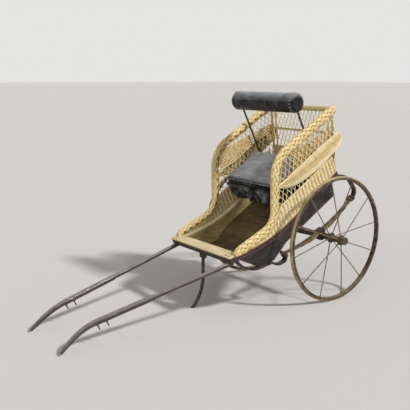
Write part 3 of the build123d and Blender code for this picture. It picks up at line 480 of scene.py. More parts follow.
def inside(outline, u, w):
    """Whether a point lies inside a closed outline."""
    hit = False
    for (u_a, w_a), (u_b, w_b) in zip(outline, outline[1:] + outline[:1]):
        if (w_a > w) != (w_b > w) and u < u_a + (u_b - u_a) * (w - w_a) / (w_b - w_a):
            hit = not hit
    return hit


def kept_runs(run, keep):
    """The stretches of a run whose points are kept, each of two points or more."""
    stretch = []
    for point in run + [None]:
        if point is not None and keep(point[0], point[1]):
            stretch.append(point)
            continue
        if len(stretch) > 1:
            yield stretch
        stretch = []


def lattice_runs(low, high, bottom, top, keep, width=DIAMOND_WIDTH, height=DIAMOND_HEIGHT):
    """Both families of leaning lines over an area, as rows of place, height and over or under."""
    lean = width / height
    rows = ceil((top - bottom) / LATTICE_STEP)
    reach = (top - bottom) * lean
    for way in (1, -1):
        for number in range(int((low - reach) / width) - 1, int((high + reach) / width) + 2):
            run = []
            for row in range(rows + 1):
                rise = (top - bottom) * row / rows
                over = cos(pi * (number + 2 * rise / height)) * way
                run.append((number * width + way * rise * lean, bottom + rise, over))
            yield from kept_runs(run, keep)


def keep_side(u, w):
    return u < LATTICE_FRONT and inside(wall_outline, u, w)


for name, side in SIDES.items():
    loom = Loom(f"side_lattice_{name}", 11 + side)
    for run in lattice_runs(*SIDE_AREA, keep_side):
        line = [level(u, side * (WALL_Y + over * CANE_RADIUS), w) for u, w, over in run]
        loom.strand(line, CANE_RADIUS, CANE_RADIUS, UP_Y, 0.85)
    loom.make(cane, stands_for=(f"wicker_side_{name}",))

# %% [markdown]
# Below the arm roll the wall is closed. Rows of cane follow the sill one above the other, and all
# of them bend out over the same stakes, which gives the pleats. The rows are coloured paler on the
# crest of a pleat and darker in its valley, as painted light and shade. Under the border, in front
# of the seat, only the lowest rows are left.

# %% Close work above the sills
ROW_PITCH = 4.4
ROW_DEPTH = 2.4
PLEAT = 23.0
PLEAT_DEPTH = 3.2
CLOSE_ROWS = 24
CLOSE_STEP = 3.8
CLOSE_FRONT = 478
CLOSE_LENGTH = 690
BACK_LEAN = 0.26
# In front of each u of this table the close work ends at the height beside it
CLOSE_UNDER_BORDER = ((300, 214.0), (236, 250.0))


def close_top(u):
    """Where the close work ends: under the border in front, at its own top edge behind."""
    for front, height in CLOSE_UNDER_BORDER:
        if u > front:
            return height
    return height_at(CLOSE_TOP, u)


for name, side in SIDES.items():
    loom = Loom(f"close_work_{name}", 31 + side)
    for row in range(CLOSE_ROWS):
        places = [CLOSE_FRONT - step * CLOSE_STEP for step in range(int(CLOSE_LENGTH / CLOSE_STEP))]
        run = [(u, height_at(SILL_TOP, u) + 2 + row * ROW_PITCH) for u in places]
        back_u = BACK_FOOT[0] - row * ROW_PITCH * BACK_LEAN + 3
        for stretch in kept_runs(run, lambda u, w: w < close_top(u) and u > back_u):
            line, tones = [], []
            for u, w in stretch:
                crest = cos(2 * pi * u / PLEAT)
                y = WALL_Y + crest * PLEAT_DEPTH * min(1, row / 2) - 0.5
                line.append(level(u, side * y, w))
                # Painted light and shade: paler on the crest of a pleat, darker in its valley.
                tones.append(0.78 + 0.2 * crest)
            loom.strand(line, ROW_DEPTH + 0.2, ROW_DEPTH - 0.5, UP_Y, tones, sides=5)
    edge_places = [(u, height_at(CLOSE_TOP, u) + 1) for u in range(232, -218, -9)]
    edge_run = [level(u, side * (WALL_Y + 1), w) for u, w in edge_places]
    loom.strand(edge_run, 3.2, 3.0, UP_Y, 0.8)
    loom.make(cane)

# %% [markdown]
# Each arm roll is a long boat-shaped bulge of strands laid side by side along the wall. It starts
# in a point behind the border, swells to the width of a hand and closes in a blunt round end
# behind the body's rear edge. Its top and its lower lip are pale, and between them a brown streak
# of painted shade runs along the crease. Beneath the strands lies a near-black layer, which paints
# shade in the gaps between them. A thicker strand binds each long edge.

# %% Arm rolls
# Each row gives u, the lower and upper edge and how far the roll stands out
ARM_ROWS = (
    (166, 376, 384, 2), (150, 368, 385, 6), (128, 355, 386, 13), (90, 340, 390, 22),
    (40, 333, 398, 29), (-32, 333, 407, 32), (-100, 338, 414, 32), (-170, 348, 420, 32),
    (-225, 360, 426, 31), (-255, 369, 429, 28), (-276, 378, 429, 22), (-288, 390, 423, 13),
    (-293, 402, 411, 4),
)
ARM_STRANDS = 14
ARM_STEPS = 60
ARM_GAP = 0.46
CREASE = 0.66
CREASE_HALF = 0.11
CREASE_DEPTH = 0.09
SHADE_STREAK_HALF = 0.2
UNDER_SHADE_TONE = 0.08


def arm_row(share):
    """The arm roll's row at a share of its length, smoothed between the rows of the table."""
    place = share * (len(ARM_ROWS) - 1)
    index = min(int(place), len(ARM_ROWS) - 2)
    t = place - index
    rows = [ARM_ROWS[max(0, min(len(ARM_ROWS) - 1, index + step))] for step in (-1, 0, 1, 2)]
    return [
        b + ((c - a) * t + (2 * a - 5 * b + 4 * c - d) * t**2 + (3 * (b - c) - a + d) * t**3) / 2
        for a, b, c, d in zip(*rows)
    ]


arm_rows = [arm_row(step / ARM_STEPS) for step in range(ARM_STEPS + 1)]
for name, side in SIDES.items():
    loom = Loom(f"arm_weave_{name}", 51 + side)
    layers = [(layer, strand) for layer in (0, 1) for strand in range(ARM_STRANDS + layer - 1)]
    for layer, strand in layers:
        height_share = (strand + 1 - layer / 2) / ARM_STRANDS
        round_angle = pi * (height_share - 0.5)
        off_crease = abs(height_share - CREASE)
        dent = 1 - CREASE_DEPTH * max(0.0, 1 - off_crease / CREASE_HALF)
        line, facing, widths = [], [], []
        for u, low, high, swell in arm_rows:
            middle, half = (low + high) / 2, (high - low) / 2
            y = WALL_Y + 3 + (swell * dent * cos(round_angle) - (1 - layer) * 1.6)
            line.append(level(u, side * y, middle + (half - 1 + layer) * sin(round_angle)))
            out_y = side * max(swell, 1) * cos(round_angle) + 0.001
            facing.append(Vector((0, out_y, half * sin(round_angle))).normalized())
            widths.append(max(0.8, pi * (half + swell) / 2 / ARM_STRANDS * ARM_GAP))
        # Painted shade: the tone is browner along the crease, and the under layer is near black so
        # the gaps between strands look shaded.
        tone = 0.92 - 0.5 * max(0.0, 1 - off_crease / SHADE_STREAK_HALF)
        loom.strand(line, widths, 2.6, facing, tone if layer else UNDER_SHADE_TONE)
    for edge in (1, 2):
        line = [level(row[0], side * (WALL_Y + 5), row[edge]) for row in arm_rows[:-2]]
        loom.strand(line, 3.6, 3.2, UP_Y, 0.95)
    loom.make(cane, stands_for=(f"roll_arm_{name}",))

# %% [markdown]
# The border is a flat plait over a core. Strands wind round the core both ways, and each passes
# over one and under the next. It is bent over the wall's edge from outside, so its lower inner
# quarter is flat against the lattice, and from inside only its upper half is seen. Three plain
# rods run along its inner edge and keep that edge smooth. In front it thins to a nose over the
# sill. The same plait, rounder and finer, covers the rail along the top of the back. The core is
# dark, so that it reads as the shadow between the strands.

# %% Plaited borders and back rail
PLAIT_COUNT = 5
PLAIT_LIFT = 1.1
PLAIT_HALF = 11.5
CORE_TONE = 0.2
BORDER_NOSE = 526.0
BORDER_TURN = 200.0
EDGE_TURNS = (radians(98), radians(128), radians(156))
RAIL_PLACE = (-300.3, 548.1)
RAIL_TURN = 90.0


def plait(loom, centres, sideways, upright, half_up, turn_length, strand_half, tone, back=0.0):
    """Plaits strands round a core; back is how much of the lower inner quarter is cut away."""
    travelled = [0.0]
    for a, b in zip(centres, centres[1:]):
        travelled.append(travelled[-1] + (b - a).length / MM)
    spine = list(zip(centres, sideways, upright, travelled, half_up))
    for way in (1, -1):
        for number in range(PLAIT_COUNT):
            line, facing, tones = [], [], []
            start = 2 * pi * number / PLAIT_COUNT
            for centre, side_way, up_way, along, rise in spine:
                turned = 2 * pi * along / turn_length
                angle = start + way * turned
                wave = cos(PLAIT_COUNT * (turned + way * start / 2) + pi * number) * way
                out_side, out_up = PLAIT_HALF + PLAIT_LIFT * wave, rise + PLAIT_LIFT * wave
                behind = back * min(1.0, max(0.0, (-sin(angle) - 0.1) / 0.5))
                across = max(out_side * cos(angle), -out_side + (out_side + 2.0) * behind)
                line.append(centre + (side_way * across + up_way * out_up * sin(angle)) * MM)
                outward = side_way * cos(angle) / PLAIT_HALF + up_way * sin(angle) / rise
                facing.append(outward.normalized())
                # Painted light and shade: a strand is paler where it rides over and darker where it
                # dips under, and darker still on the inner side of the cut-away quarter.
                tones.append(tone + 0.16 * wave - 0.3 * behind * (cos(angle) < 0))
            loom.strand(line, strand_half, 1.5, facing, tones)
    core_half = [half - min(2.6, half / 3) for half in half_up]
    core_line = [centre + side_way * 3.0 * back * MM for centre, side_way in zip(centres, sideways)]
    core_depth = PLAIT_HALF - 2.6 - 2.5 * back
    loom.strand(core_line, core_half, core_depth, list(sideways), CORE_TONE, sides=10)


border_spine, border_halves = [], []
for point in even_run(rounded_run(BORDER_CORNERS, BORDER_ROUNDS, 4.0), 4.0):
    top, low = point.y + BORDER_HALF, point.y - BORDER_HALF
    if point.x > LATTICE_FRONT:
        low = max(low, height_at(SILL_TOP, point.x))
        top = min(top, low + 4 + (BORDER_NOSE - point.x) * 0.8)
        border_spine.append((point.x, (top + low) / 2))
        border_halves.append((top - low) / 2)
    else:
        border_spine.append((point.x, point.y))
        border_halves.append(BORDER_HALF * min(1.0, 0.45 + (point.x + 313) / 30))
for name, side in SIDES.items():
    out = UP_Y * side
    centres = [level(u, side * WALL_Y, w) for u, w in border_spine]
    ahead = centres[1:] + [centres[-1] * 2 - centres[-2]]
    runs = [(b - a).normalized() for a, b in zip(centres, ahead)]
    upright = [Vector((run.z, 0, -run.x)) for run in runs]
    loom = Loom(f"border_plait_{name}", 71 + side)
    sideways = [out] * len(centres)
    plait(loom, centres, sideways, upright, border_halves, BORDER_TURN, 8.4, 0.76, back=1.0)
    for turn in EDGE_TURNS:
        line = []
        for centre, up_way, rise in zip(centres, upright, border_halves):
            line.append(centre + (out * 12.0 * cos(turn) + up_way * (rise + 0.8) * sin(turn)) * MM)
        loom.strand(line, 3.2, 2.6, out, 0.88)
    loom.make(braid, stands_for=(f"border_{name}",))

rail_centres = [level(RAIL_PLACE[0], y, RAIL_PLACE[1]) for y in range(-226, 227, 4)]
count = len(rail_centres)
sideways, upright = [Vector((1, 0, 0))] * count, [Vector((0, 0, 1))] * count
loom = Loom("rail_plait", 91)
plait(loom, rail_centres, sideways, upright, [PLAIT_HALF] * count, RAIL_TURN, 5.4, 0.9)
loom.make(braid, stands_for=("back_rail",))

# %% [markdown]
# The back is the same lattice with narrower, taller diamonds, framed by double posts at its
# corners and crossed by a rail at the height of the arm rolls. Below the seat it is closed with
# rows, as the sides are.

# %% Back wall
BACK_HALF = 216
BACK_DIAMOND = (27.0, 58.0)
BACK_RAIL_SHARE = 0.61
BACK_ROWS = 21
BACK_STEPS = 111
# Each post: how far it stands from the middle and its half thickness
BACK_POSTS = ((221, 5.0), (212, 3.6), (190, 3.6), (184, 3.2))
back_run = Vector(BACK_HEAD) - Vector(BACK_FOOT)
back_length = back_run.length
back_facing = Vector((back_run.y, 0, -back_run.x)).normalized()
back_rail = back_length * BACK_RAIL_SHARE
BACK_RAILS = ((back_rail, 3.4), (back_rail + 6.5, 3.0), (96, 3.4))


def back_point(y, rise, outward=0.0):
    """A point of the back, from its place across, its way up the wall and its depth."""
    foot = Vector(BACK_FOOT) + back_run * rise / back_length
    return level(foot.x, y, foot.y) + back_facing * outward * MM


def keep_back(y, rise):
    return abs(y) < BACK_HALF


loom = Loom("back_lattice", 101)
back_area = (-BACK_HALF, BACK_HALF, 0, back_length - 6)
for run in lattice_runs(*back_area, keep_back, *BACK_DIAMOND):
    line = [back_point(y, rise, over * CANE_RADIUS) for y, rise, over in run]
    loom.strand(line, CANE_RADIUS, CANE_RADIUS, back_facing, 0.88)
for row in range(BACK_ROWS):
    line, tones = [], []
    for step in range(BACK_STEPS + 1):
        y = -BACK_HALF + step * 2 * BACK_HALF / BACK_STEPS
        crest = cos(2 * pi * y / PLEAT)
        line.append(back_point(y, 3 + row * ROW_PITCH, crest * PLEAT_DEPTH))
        # Painted light and shade: paler on the crest of a pleat, darker in its valley.
        tones.append(0.74 + 0.2 * crest)
    loom.strand(line, ROW_DEPTH + 0.2, ROW_DEPTH - 0.5, back_facing, tones, sides=5)
for rise, half in BACK_RAILS:
    line = [back_point(y, rise, 3) for y in range(-BACK_HALF, BACK_HALF + 1, 18)]
    loom.strand(line, half, half, back_facing, 0.78)
for side in SIDES.values():
    for y, half in BACK_POSTS:
        line = [back_point(side * y, rise, 2.5) for rise in range(0, int(back_length) - 4, 20)]
        loom.strand(line, half, half, back_facing, 0.72)
loom.make(cane, stands_for=("wicker_back",))

# %% [markdown]
# Inside each wall, at the height of the arm roll, runs a band of thicker strands that cross like
# the border's. It is ochre and open, so dark spots show through. On the left side its front part
# is worn away.

# %% Inner bands
BAND_TOP = ((142, 430), (112, 486), (51, 484), (-128, 472), (-282, 455))
BAND_LOW = ((150, 402), (50, 397), (-120, 424), (-272, 424))
BAND_STARTS = {"left": 30, "right": 140}
BAND_BACK = -276
BAND_AREA = (-300, 160, 380, 500)
BAND_DIAMOND = (17.0, 17.0)
BAND_Y = WALL_Y - 7
for name, side in SIDES.items():
    loom = Loom(f"inner_band_{name}", 111 + side)

    def keep_band(u, w):
        within = height_at(BAND_LOW, u) < w < height_at(BAND_TOP, u)
        return BAND_BACK < u < BAND_STARTS[name] and within and keep_side(u, w)

    for run in lattice_runs(*BAND_AREA, keep_band, *BAND_DIAMOND):
        line = [level(u, side * (BAND_Y + over * 1.6), w) for u, w, over in run]
        loom.strand(line, 3.6, 1.6, UP_Y, 0.62)
    for edge in (BAND_LOW, BAND_TOP):
        places = range(BAND_STARTS[name], BAND_BACK, -8)
        line = [level(u, side * BAND_Y, height_at(edge, u)) for u in places]
        loom.strand(line, 3.6, 3.0, UP_Y, 0.7)
    loom.make(braid)


# %% [markdown]
# The wood and the iron keep their solids and only get finishes. Paint on the sills and panels is
# black, dusty and scratched outside and left off inside, where the wood is bare. The front board
# is scrubbed pale wood with its grain across the cart. The planks of the foot well are coloured
# darker than the wood, as painted shade. The shafts are stained dark and go grey on top, as dust
# and as painted highlight, so their finish mixes in grey by how far the surface faces up; the dark
# iron gets a painted highlight on top in the same way. The rims are coloured dark, partly as
# painted shade of the groove between rim and tyre. A table gives each plain finish its grain, its
# stain and its dust and highlight.

# %% Finishes of wood and iron


def dust_and_highlight_on_top(finish, shade, dust_and_highlight, low=0.35, high=0.95, patchy=1.0):
    """Mixes a colour in where the surface faces up: dust, and on some finishes a painted highlight.
    """
    cloud = finish.noise(finish.place(), 26.0, detail=5)
    spread = finish.sums("ADD", finish.sums("MULTIPLY", cloud, patchy), 0.85 - 0.5 * patchy)
    upness = finish.sums("MULTIPLY", finish.split("Normal")["Z"], spread)
    return finish.mix(finish.ramp(upness, (low, 0.0), (high, 1.0)), shade, dust_and_highlight)


def looks_outward(finish):
    """How far a face looks away from the cart's middle line or down, from about -1 to 1."""
    place, way = finish.split("Object"), finish.split("Normal")
    across = finish.sums("MULTIPLY", finish.sums("MULTIPLY", place["Y"], way["Y"]), 4.3)
    return finish.sums("MAXIMUM", across, finish.sums("MULTIPLY", way["Z"], -1.0))


def paint_finish(name, bare_inside):
    """Worn black paint, which can leave the inner faces bare."""
    finish = Finish(name, roughness=0.42, coat=0.1, specular=0.35)
    cloud = finish.noise(finish.place(), 16.0, detail=7, roughness=0.65)
    scratch = finish.noise(finish.place(stretch=(6, 60, 60)), 4.0, detail=5, roughness=0.7)
    shade = finish.ramp(
        cloud, (0.35, "12110F"), (0.5, "211E1B"), (0.62, "2E2D24"), (0.78, "40392F"))
    worn = finish.mix(finish.ramp(scratch, (0.58, 0.0), (0.68, 0.6)), shade, "6E6353")
    painted = dust_and_highlight_on_top(finish, worn, "5E564C")
    if bare_inside:
        grain = finish.noise(finish.place(stretch=(5, 60, 60)), 2.4, detail=6, distortion=0.4)
        bare = finish.ramp(grain, (0.3, "A8935C"), (0.5, "D2BF84"), (0.75, "E8DAA6"))
        bare = finish.mix(finish.ramp(cloud, (0.48, 0.0), (0.72, 0.7)), bare, "7A663C")
        outside = finish.ramp(looks_outward(finish), (0.35, 0.0), (0.5, 1.0))
        painted = finish.mix(outside, bare, painted)
    finish.paint(painted)
    finish.bump(cloud, 0.0004)
    return finish


def plain_finish(name, stretch, scale, settings, *shades, stain=None, dust_and_highlight=None, bump=0.0005,
                 raised_spots=False, **looks):
    """One noise in shades, with a stain in its spots and, where it has them, dust and painted
    highlight on top.
    """
    finish = Finish(name, **looks)
    grain = finish.noise(finish.place(stretch=stretch), scale, **settings)
    shade = finish.ramp(grain, *shades)
    if stain:
        spot_scale, spot_settings, low, high, stain_colour = stain
        spots = finish.noise(finish.place(), spot_scale, **spot_settings)
        shade = finish.mix(finish.ramp(spots, low, high), shade, stain_colour)
    if dust_and_highlight:
        shade = dust_and_highlight_on_top(finish, shade, *dust_and_highlight)
    finish.paint(shade)
    if bump:
        finish.bump(spots if raised_spots else grain, bump)
    return finish


EVEN = (1, 1, 1)
FINE = {"detail": 6}
KNOTTY = {"detail": 6, "roughness": 0.7}
RUSTY = {"detail": 7, "roughness": 0.7}
coach_paint = paint_finish("coach_paint", False)
side_paint = paint_finish("side_paint", True)
cream_wood = plain_finish(
    "cream_wood", (60, 4, 60), 2.2, {"detail": 6, "distortion": 0.4},
    (0.3, "C0AA78"), (0.5, "DDCA9C"), (0.75, "EEE0BC"),
    stain=(14.0, KNOTTY, (0.56, 0.0), (0.78, 0.7), "8E7748"), roughness=0.6)
# The planks are coloured darker than the wood, as painted shade of the foot well.
plank = plain_finish(
    "plank", (50, 3, 50), 2.4, {"detail": 6, "distortion": 0.5},
    (0.3, "463922"), (0.5, "6A5834"), (0.75, "8A774A"),
    stain=(9.0, KNOTTY, (0.4, 0.0), (0.7, 0.85), "2E2619"), bump=0.0006, roughness=0.7)
# The grey on top is dust and painted highlight.
shaft_wood = plain_finish(
    "shaft_wood", (3, 45, 45), 3.0, {"detail": 6, "roughness": 0.65},
    (0.3, "211C18"), (0.52, "3B342C"), (0.75, "5C5244"),
    stain=(19.0, {"detail": 5}, (0.55, 0.0), (0.75, 0.6), "4E3B2A"), dust_and_highlight=("8A8074", 0.3, 0.9),
    roughness=0.48, coat=0.1)
# The pale colour on top is a painted highlight on the irons' upper edges, as well as dust.
dark_iron = plain_finish(
    "dark_iron", EVEN, 45.0, RUSTY,
    (0.35, "1D1916"), (0.5, "38312A"), (0.62, "5A4737"), (0.76, "85705A"),
    dust_and_highlight=("5B5146",), bump=0.0006, roughness=0.5, metallic=0.2, specular=0.35)
worn_iron = plain_finish(
    "worn_iron", EVEN, 34.0, RUSTY,
    (0.34, "4A3C2E"), (0.5, "78664E"), (0.64, "98866A"), (0.78, "B0A083"),
    roughness=0.52, metallic=0.2)
# The rims are coloured dark, as worn iron and partly as painted shade of the groove between rim and
# tyre; the hubs share it.
rim_iron = plain_finish(
    "rim_iron", EVEN, 40.0, RUSTY,
    (0.34, "2C241D"), (0.5, "4F4233"), (0.64, "78664E"), (0.78, "A8987A"),
    dust_and_highlight=("9A8A6C", 0.5, 1.2), bump=0.0006, roughness=0.6, metallic=0.1, specular=0.35)
tyre = plain_finish(
    "tyre", EVEN, 9.0, RUSTY, (0.34, "6C5640"), (0.5, "95805C"), (0.66, "B6A077"),
    stain=(90.0, {"detail": 4}, (0.5, 0.0), (0.72, 0.6), "4E4034"), dust_and_highlight=("B4A17C", 0.4, 1.0),
    bump=0.0004, raised_spots=True, roughness=0.72)

dress(coach_paint, "body_rear_board", "rear_cross_bar")
dress(cream_wood, "front_board")
dress(plank, "well_front", "well_floor", "well_riser", "body_floor")
dress(dark_iron, "front_cross_bar", "axle", "spring_clips", "leg_bracket", "prop_leg")
for name in SIDES:
    dress(side_paint, f"sill_{name}", f"well_side_{name}", f"side_panel_{name}")
    dress(shaft_wood, f"shaft_{name}")
    dress(dark_iron, f"backrest_iron_{name}", f"front_iron_{name}", f"rear_iron_{name}")
    dress(worn_iron, f"spring_{name}", f"spokes_{name}")
    dress(rim_iron, f"rim_{name}", f"hub_{name}")
    dress(tyre, f"tyre_{name}")
print("finishes so far:", len(bpy.data.materials))

# %% [markdown]
# The seat cushion and the back roll are black oilcloth over stuffing. Their top faces are painted
# paler grey as painted highlight, and the grey along the creases is painted highlight on the
# wrinkles as well as scuffs. Fine crackle comes from narrow cells, and larger creases from a
# stretched noise. The cushion's piping has rubbed grey.

# %% Leather finish


def leather_finish():
    """Black oilcloth with scuffs, creases and crackle, and painted highlight on its creases and top
    faces.
    """
    finish = Finish("black_leather", roughness=0.38, specular=0.17)
    stretched = finish.place(stretch=(1.0, 0.6, 1.6))
    scuff = finish.noise(stretched, 22.0, detail=8, roughness=0.72, distortion=0.8)
    cells = add_node(finish.tree, "ShaderNodeTexVoronoi", finish.place(), Scale=170.0)
    cells.feature = "DISTANCE_TO_EDGE"
    crackle = finish.ramp(cells.outputs["Distance"], (0.0, 0.0), (0.12, 0.12))
    fold = finish.noise(finish.place(stretch=(0.5, 1.8, 1)), 30.0, detail=6, distortion=1.2)
    crease = finish.noise(finish.place(stretch=(5, 38, 5)), 1.0, detail=4, distortion=1.2)
    shade = finish.ramp(scuff, (0.36, "08080A"), (0.5, "151618"), (0.64, "36373A"), (0.8, "8B8C8D"))
    # Grey along the creases: painted highlight on the wrinkles, as well as scuffs.
    scuffed_and_lit_creases = finish.mix(finish.ramp(crease, (0.52, 0.0), (0.68, 0.5)), shade, "77797B")
    # Painted highlight: pale grey on the faces that look up.
    top_highlight = dust_and_highlight_on_top(finish, scuffed_and_lit_creases, "B0B3B6", 0.05, 0.92, 0.45)
    finish.paint(finish.mix(finish.ramp(scuff, (0.4, 0.4), (0.55, 0.0)), top_highlight, "18191A"))
    finish.bump(finish.sums("ADD", finish.sums("ADD", fold, crease), crackle), 0.0022)
    return finish


black_leather = leather_finish()
worn_edge = plain_finish(
    "worn_edge", EVEN, 60.0, {}, (0.35, "56585B"), (0.65, "B2B4B5"),
    bump=None, roughness=0.5, specular=0.3)
print("leather finishes:", black_leather.material.name, worn_edge.material.name)

# %% [markdown]
# A pad is blown up with cloth: the shape is remeshed evenly, inflated by pressure with gravity
# off, and no point may move further than a cap. That rounds the faces between the seams and leaves
# the corners held, as stuffing does. The modifier is applied, so only a mesh is left. Every piece
# that isn't woven is then put on the cart in the same way.

# %% Blowing up a pad
PAD_VOXEL = 0.005
PAD_FRAMES = 20
PAD_PRESSURE = 4.0
PAD_SPARE = 0.02
PAD_QUALITY = 5


def apply_modifiers(piece):
    """Turns a piece's modifiers into its mesh."""
    bpy.context.view_layer.objects.active = piece
    for modifier in list(piece.modifiers):
        bpy.ops.object.modifier_apply(modifier=modifier.name)


def put_on_cart(piece, finish):
    """Gives a piece its finish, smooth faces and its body."""
    piece.data.materials.clear()
    piece.data.materials.append(finish.material)
    piece.data.polygons.foreach_set("use_smooth", [True] * len(piece.data.polygons))
    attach(piece, "cart_body")


def surface_of(piece):
    """A tree that finds the nearest place on a piece."""
    points = [vertex.co.copy() for vertex in piece.data.vertices]
    return BVHTree.FromPolygons(points, [tuple(face.vertices) for face in piece.data.polygons])


def blow_up(piece, cap):
    """Remeshes a closed shape, inflates it and caps how far its points move."""
    remesh = piece.modifiers.new("even", "REMESH")
    remesh.mode = "VOXEL"
    remesh.voxel_size = PAD_VOXEL
    apply_modifiers(piece)
    rest = [vertex.co.copy() for vertex in piece.data.vertices]
    cloth = piece.modifiers.new("stuffing", "CLOTH")
    cloth.settings.use_pressure = True
    cloth.settings.uniform_pressure_force = PAD_PRESSURE
    cloth.settings.effector_weights.gravity = 0
    cloth.settings.shrink_min = -PAD_SPARE
    cloth.settings.quality = PAD_QUALITY
    scene = bpy.context.scene
    for frame_number in range(1, PAD_FRAMES + 1):
        scene.frame_set(frame_number)
    apply_modifiers(piece)
    scene.frame_set(1)
    moved = 0.0
    for vertex, start in zip(piece.data.vertices, rest):
        move = vertex.co - start
        if move.length > cap:
            vertex.co = start + move * (cap / move.length)
        moved = max(moved, (vertex.co - start).length)
    print(piece.name, "moved up to", round(moved / MM, 1), "mm")


def settle(piece, matrix, finish, stands_for):
    fine = piece.modifiers.new("fine", "SUBSURF")
    fine.levels = fine.render_levels = 1
    apply_modifiers(piece)
    piece.data.transform(matrix)
    put_on_cart(piece, finish)
    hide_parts(*stands_for)
    print(piece.name, "faces:", len(piece.data.polygons))


# %% [markdown]
# The cushion is a box pad, flat below and crowned above, which covers the front edge of the seat
# board. It starts as a cube with its edges bevelled in edit mode, a little smaller than the real
# one. Piping runs round its top edge, where the cover has rubbed grey: its line is found on the
# finished pad by looking at the pad from outside the edge.

# %% Seat cushion
SEAT_SLOPE = radians(9.0)
SEAT_FRONT, SEAT_TOP = 136, 306
CUSHION_LENGTH, CUSHION_WIDTH, CUSHION_HEIGHT = 0.236, 0.396, 0.040
CUSHION_BASE = 0.0124
CUSHION_BEVEL = 0.006
CUSHION_CAP = 0.005
PIPING_HEIGHT = CUSHION_BASE + CUSHION_HEIGHT * 0.97
PIPING_HALF = 2.4
PIPING_PARTS = 120
seat_place = Matrix.Translation(level(SEAT_FRONT, 0, SEAT_TOP))
seat_matrix = seat_place @ Matrix.Rotation(SEAT_SLOPE, 4, "Y")
bpy.ops.object.select_all(action="DESELECT")
bpy.ops.mesh.primitive_cube_add(size=1.0, location=(0, 0, 0))
cushion = bpy.context.object
cushion.name = "cushion"
bpy.ops.object.mode_set(mode="EDIT")
bpy.ops.transform.resize(value=(CUSHION_LENGTH, CUSHION_WIDTH, CUSHION_HEIGHT))
bpy.ops.transform.translate(value=(-CUSHION_LENGTH / 2, 0, CUSHION_BASE + CUSHION_HEIGHT / 2))
bpy.ops.mesh.bevel(offset=CUSHION_BEVEL, segments=2, affect="EDGES")
bpy.ops.object.mode_set(mode="OBJECT")
blow_up(cushion, CUSHION_CAP)
for vertex in cushion.data.vertices:
    vertex.co.z = max(vertex.co.z, CUSHION_BASE)
cushion_surface = surface_of(cushion)
piping = Loom("cushion_piping", 121)
line, outward = [], []
for step in range(PIPING_PARTS + 1):
    turn = 2 * pi * step / PIPING_PARTS
    box_x, box_y = cos(turn), sin(turn)
    grow = 1 / max(abs(box_x), abs(box_y))
    edge_x, edge_y = (box_x * grow - 1) * CUSHION_LENGTH / 2, box_y * grow * CUSHION_WIDTH / 2
    away = Vector((box_x * grow, box_y * grow, 0)).normalized()
    looked_from = Vector((edge_x, edge_y, PIPING_HEIGHT)) + away * 0.006
    place, normal, _, _ = cushion_surface.find_nearest(looked_from)
    line.append(place)
    outward.append(normal)
piping.strand(line, PIPING_HALF, PIPING_HALF, outward, 0.5)
piping.make(worn_edge, place=to_cart @ seat_matrix)
settle(cushion, to_cart @ seat_matrix, black_leather, ("seat_cushion",))

# %% [markdown]
# The back roll is a long bolster. A cylinder gets rounded ends by bevelling its two rims in edit
# mode, and a dimple by insetting the end faces, and it is then blown up like the cushion. Pale
# thread laces the ends: pairs of crossed stitches, worked once and turned round the rim.

# %% Back roll
ROLL_CENTRE = level(-106, 0, 677)
ROLL_RADIUS = 0.0465
ROLL_BEVEL = 0.020
ROLL_CAP = 0.006
DIMPLE_RIM, DIMPLE_DEPTH = 0.008, 0.002
STITCH_COUNT = 18
STITCH_PARTS = 6
STITCH_PLACE = 0.010
STITCH_LENGTH = 0.020
STITCH_SLANT = 0.09


def select_ends(piece):
    """Selects a cylinder's round end faces in edit mode."""
    bpy.ops.mesh.select_all(action="DESELECT")
    edited = bmesh.from_edit_mesh(piece.data)
    for face in edited.faces:
        face.select_set(len(face.verts) > 4)
    bmesh.update_edit_mesh(piece.data)


roll_low, roll_high = (Vector(corner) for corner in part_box("backrest_roll"))
ROLL_HALF = (roll_high.y - roll_low.y) / 2
bpy.ops.object.select_all(action="DESELECT")
bpy.ops.mesh.primitive_cylinder_add(
    vertices=48, radius=ROLL_RADIUS, depth=2 * ROLL_HALF - 0.006, rotation=(pi / 2, 0, 0))
roll = bpy.context.object
roll.name = "back_roll"
bpy.ops.object.transform_apply(rotation=True)
bpy.ops.object.mode_set(mode="EDIT")
select_ends(roll)
bpy.ops.mesh.bevel(offset=ROLL_BEVEL, segments=5, affect="EDGES")
select_ends(roll)
bpy.ops.mesh.inset(thickness=DIMPLE_RIM, depth=-DIMPLE_DEPTH, use_individual=True)
bpy.ops.object.mode_set(mode="OBJECT")
blow_up(roll, ROLL_CAP)
roll_matrix = to_cart @ Matrix.Translation(ROLL_CENTRE)
roll_surface = surface_of(roll)
thread = plain_finish(
    "thread", EVEN, 300.0, {}, (0.3, "8A8468"), (0.7, "C4BC98"), bump=None, roughness=0.7)
stitches = Loom("roll_stitches", 131)
for side in SIDES.values():
    for number in range(STITCH_COUNT):
        for slant in (-STITCH_SLANT, STITCH_SLANT):
            line, outward = [], []
            for part in range(STITCH_PARTS + 1):
                share = part / STITCH_PARTS - 0.5
                angle = 2 * pi * number / STITCH_COUNT + slant * share * 2
                y = side * (ROLL_HALF - STITCH_PLACE + share * STITCH_LENGTH)
                reach = ROLL_RADIUS + 0.004
                looked_from = Vector((reach * cos(angle), y, reach * sin(angle)))
                place, normal, _, _ = roll_surface.find_nearest(looked_from)
                line.append(place + normal * 0.0004)
                outward.append(normal)
            stitches.strand(line, 0.7, 0.7, outward, 0.5, sides=4)
stitches.make(thread, place=roll_matrix)
settle(roll, roll_matrix, black_leather, ("backrest_roll",))

# %% [markdown]
# Under the front of the seat hang torn flaps of the same oilcloth. Each is a strip cut to a ragged
# lower edge and hung from the board, with folds laid in by waves. The folds grow towards the free
# edge, and tears run up between the tongues.

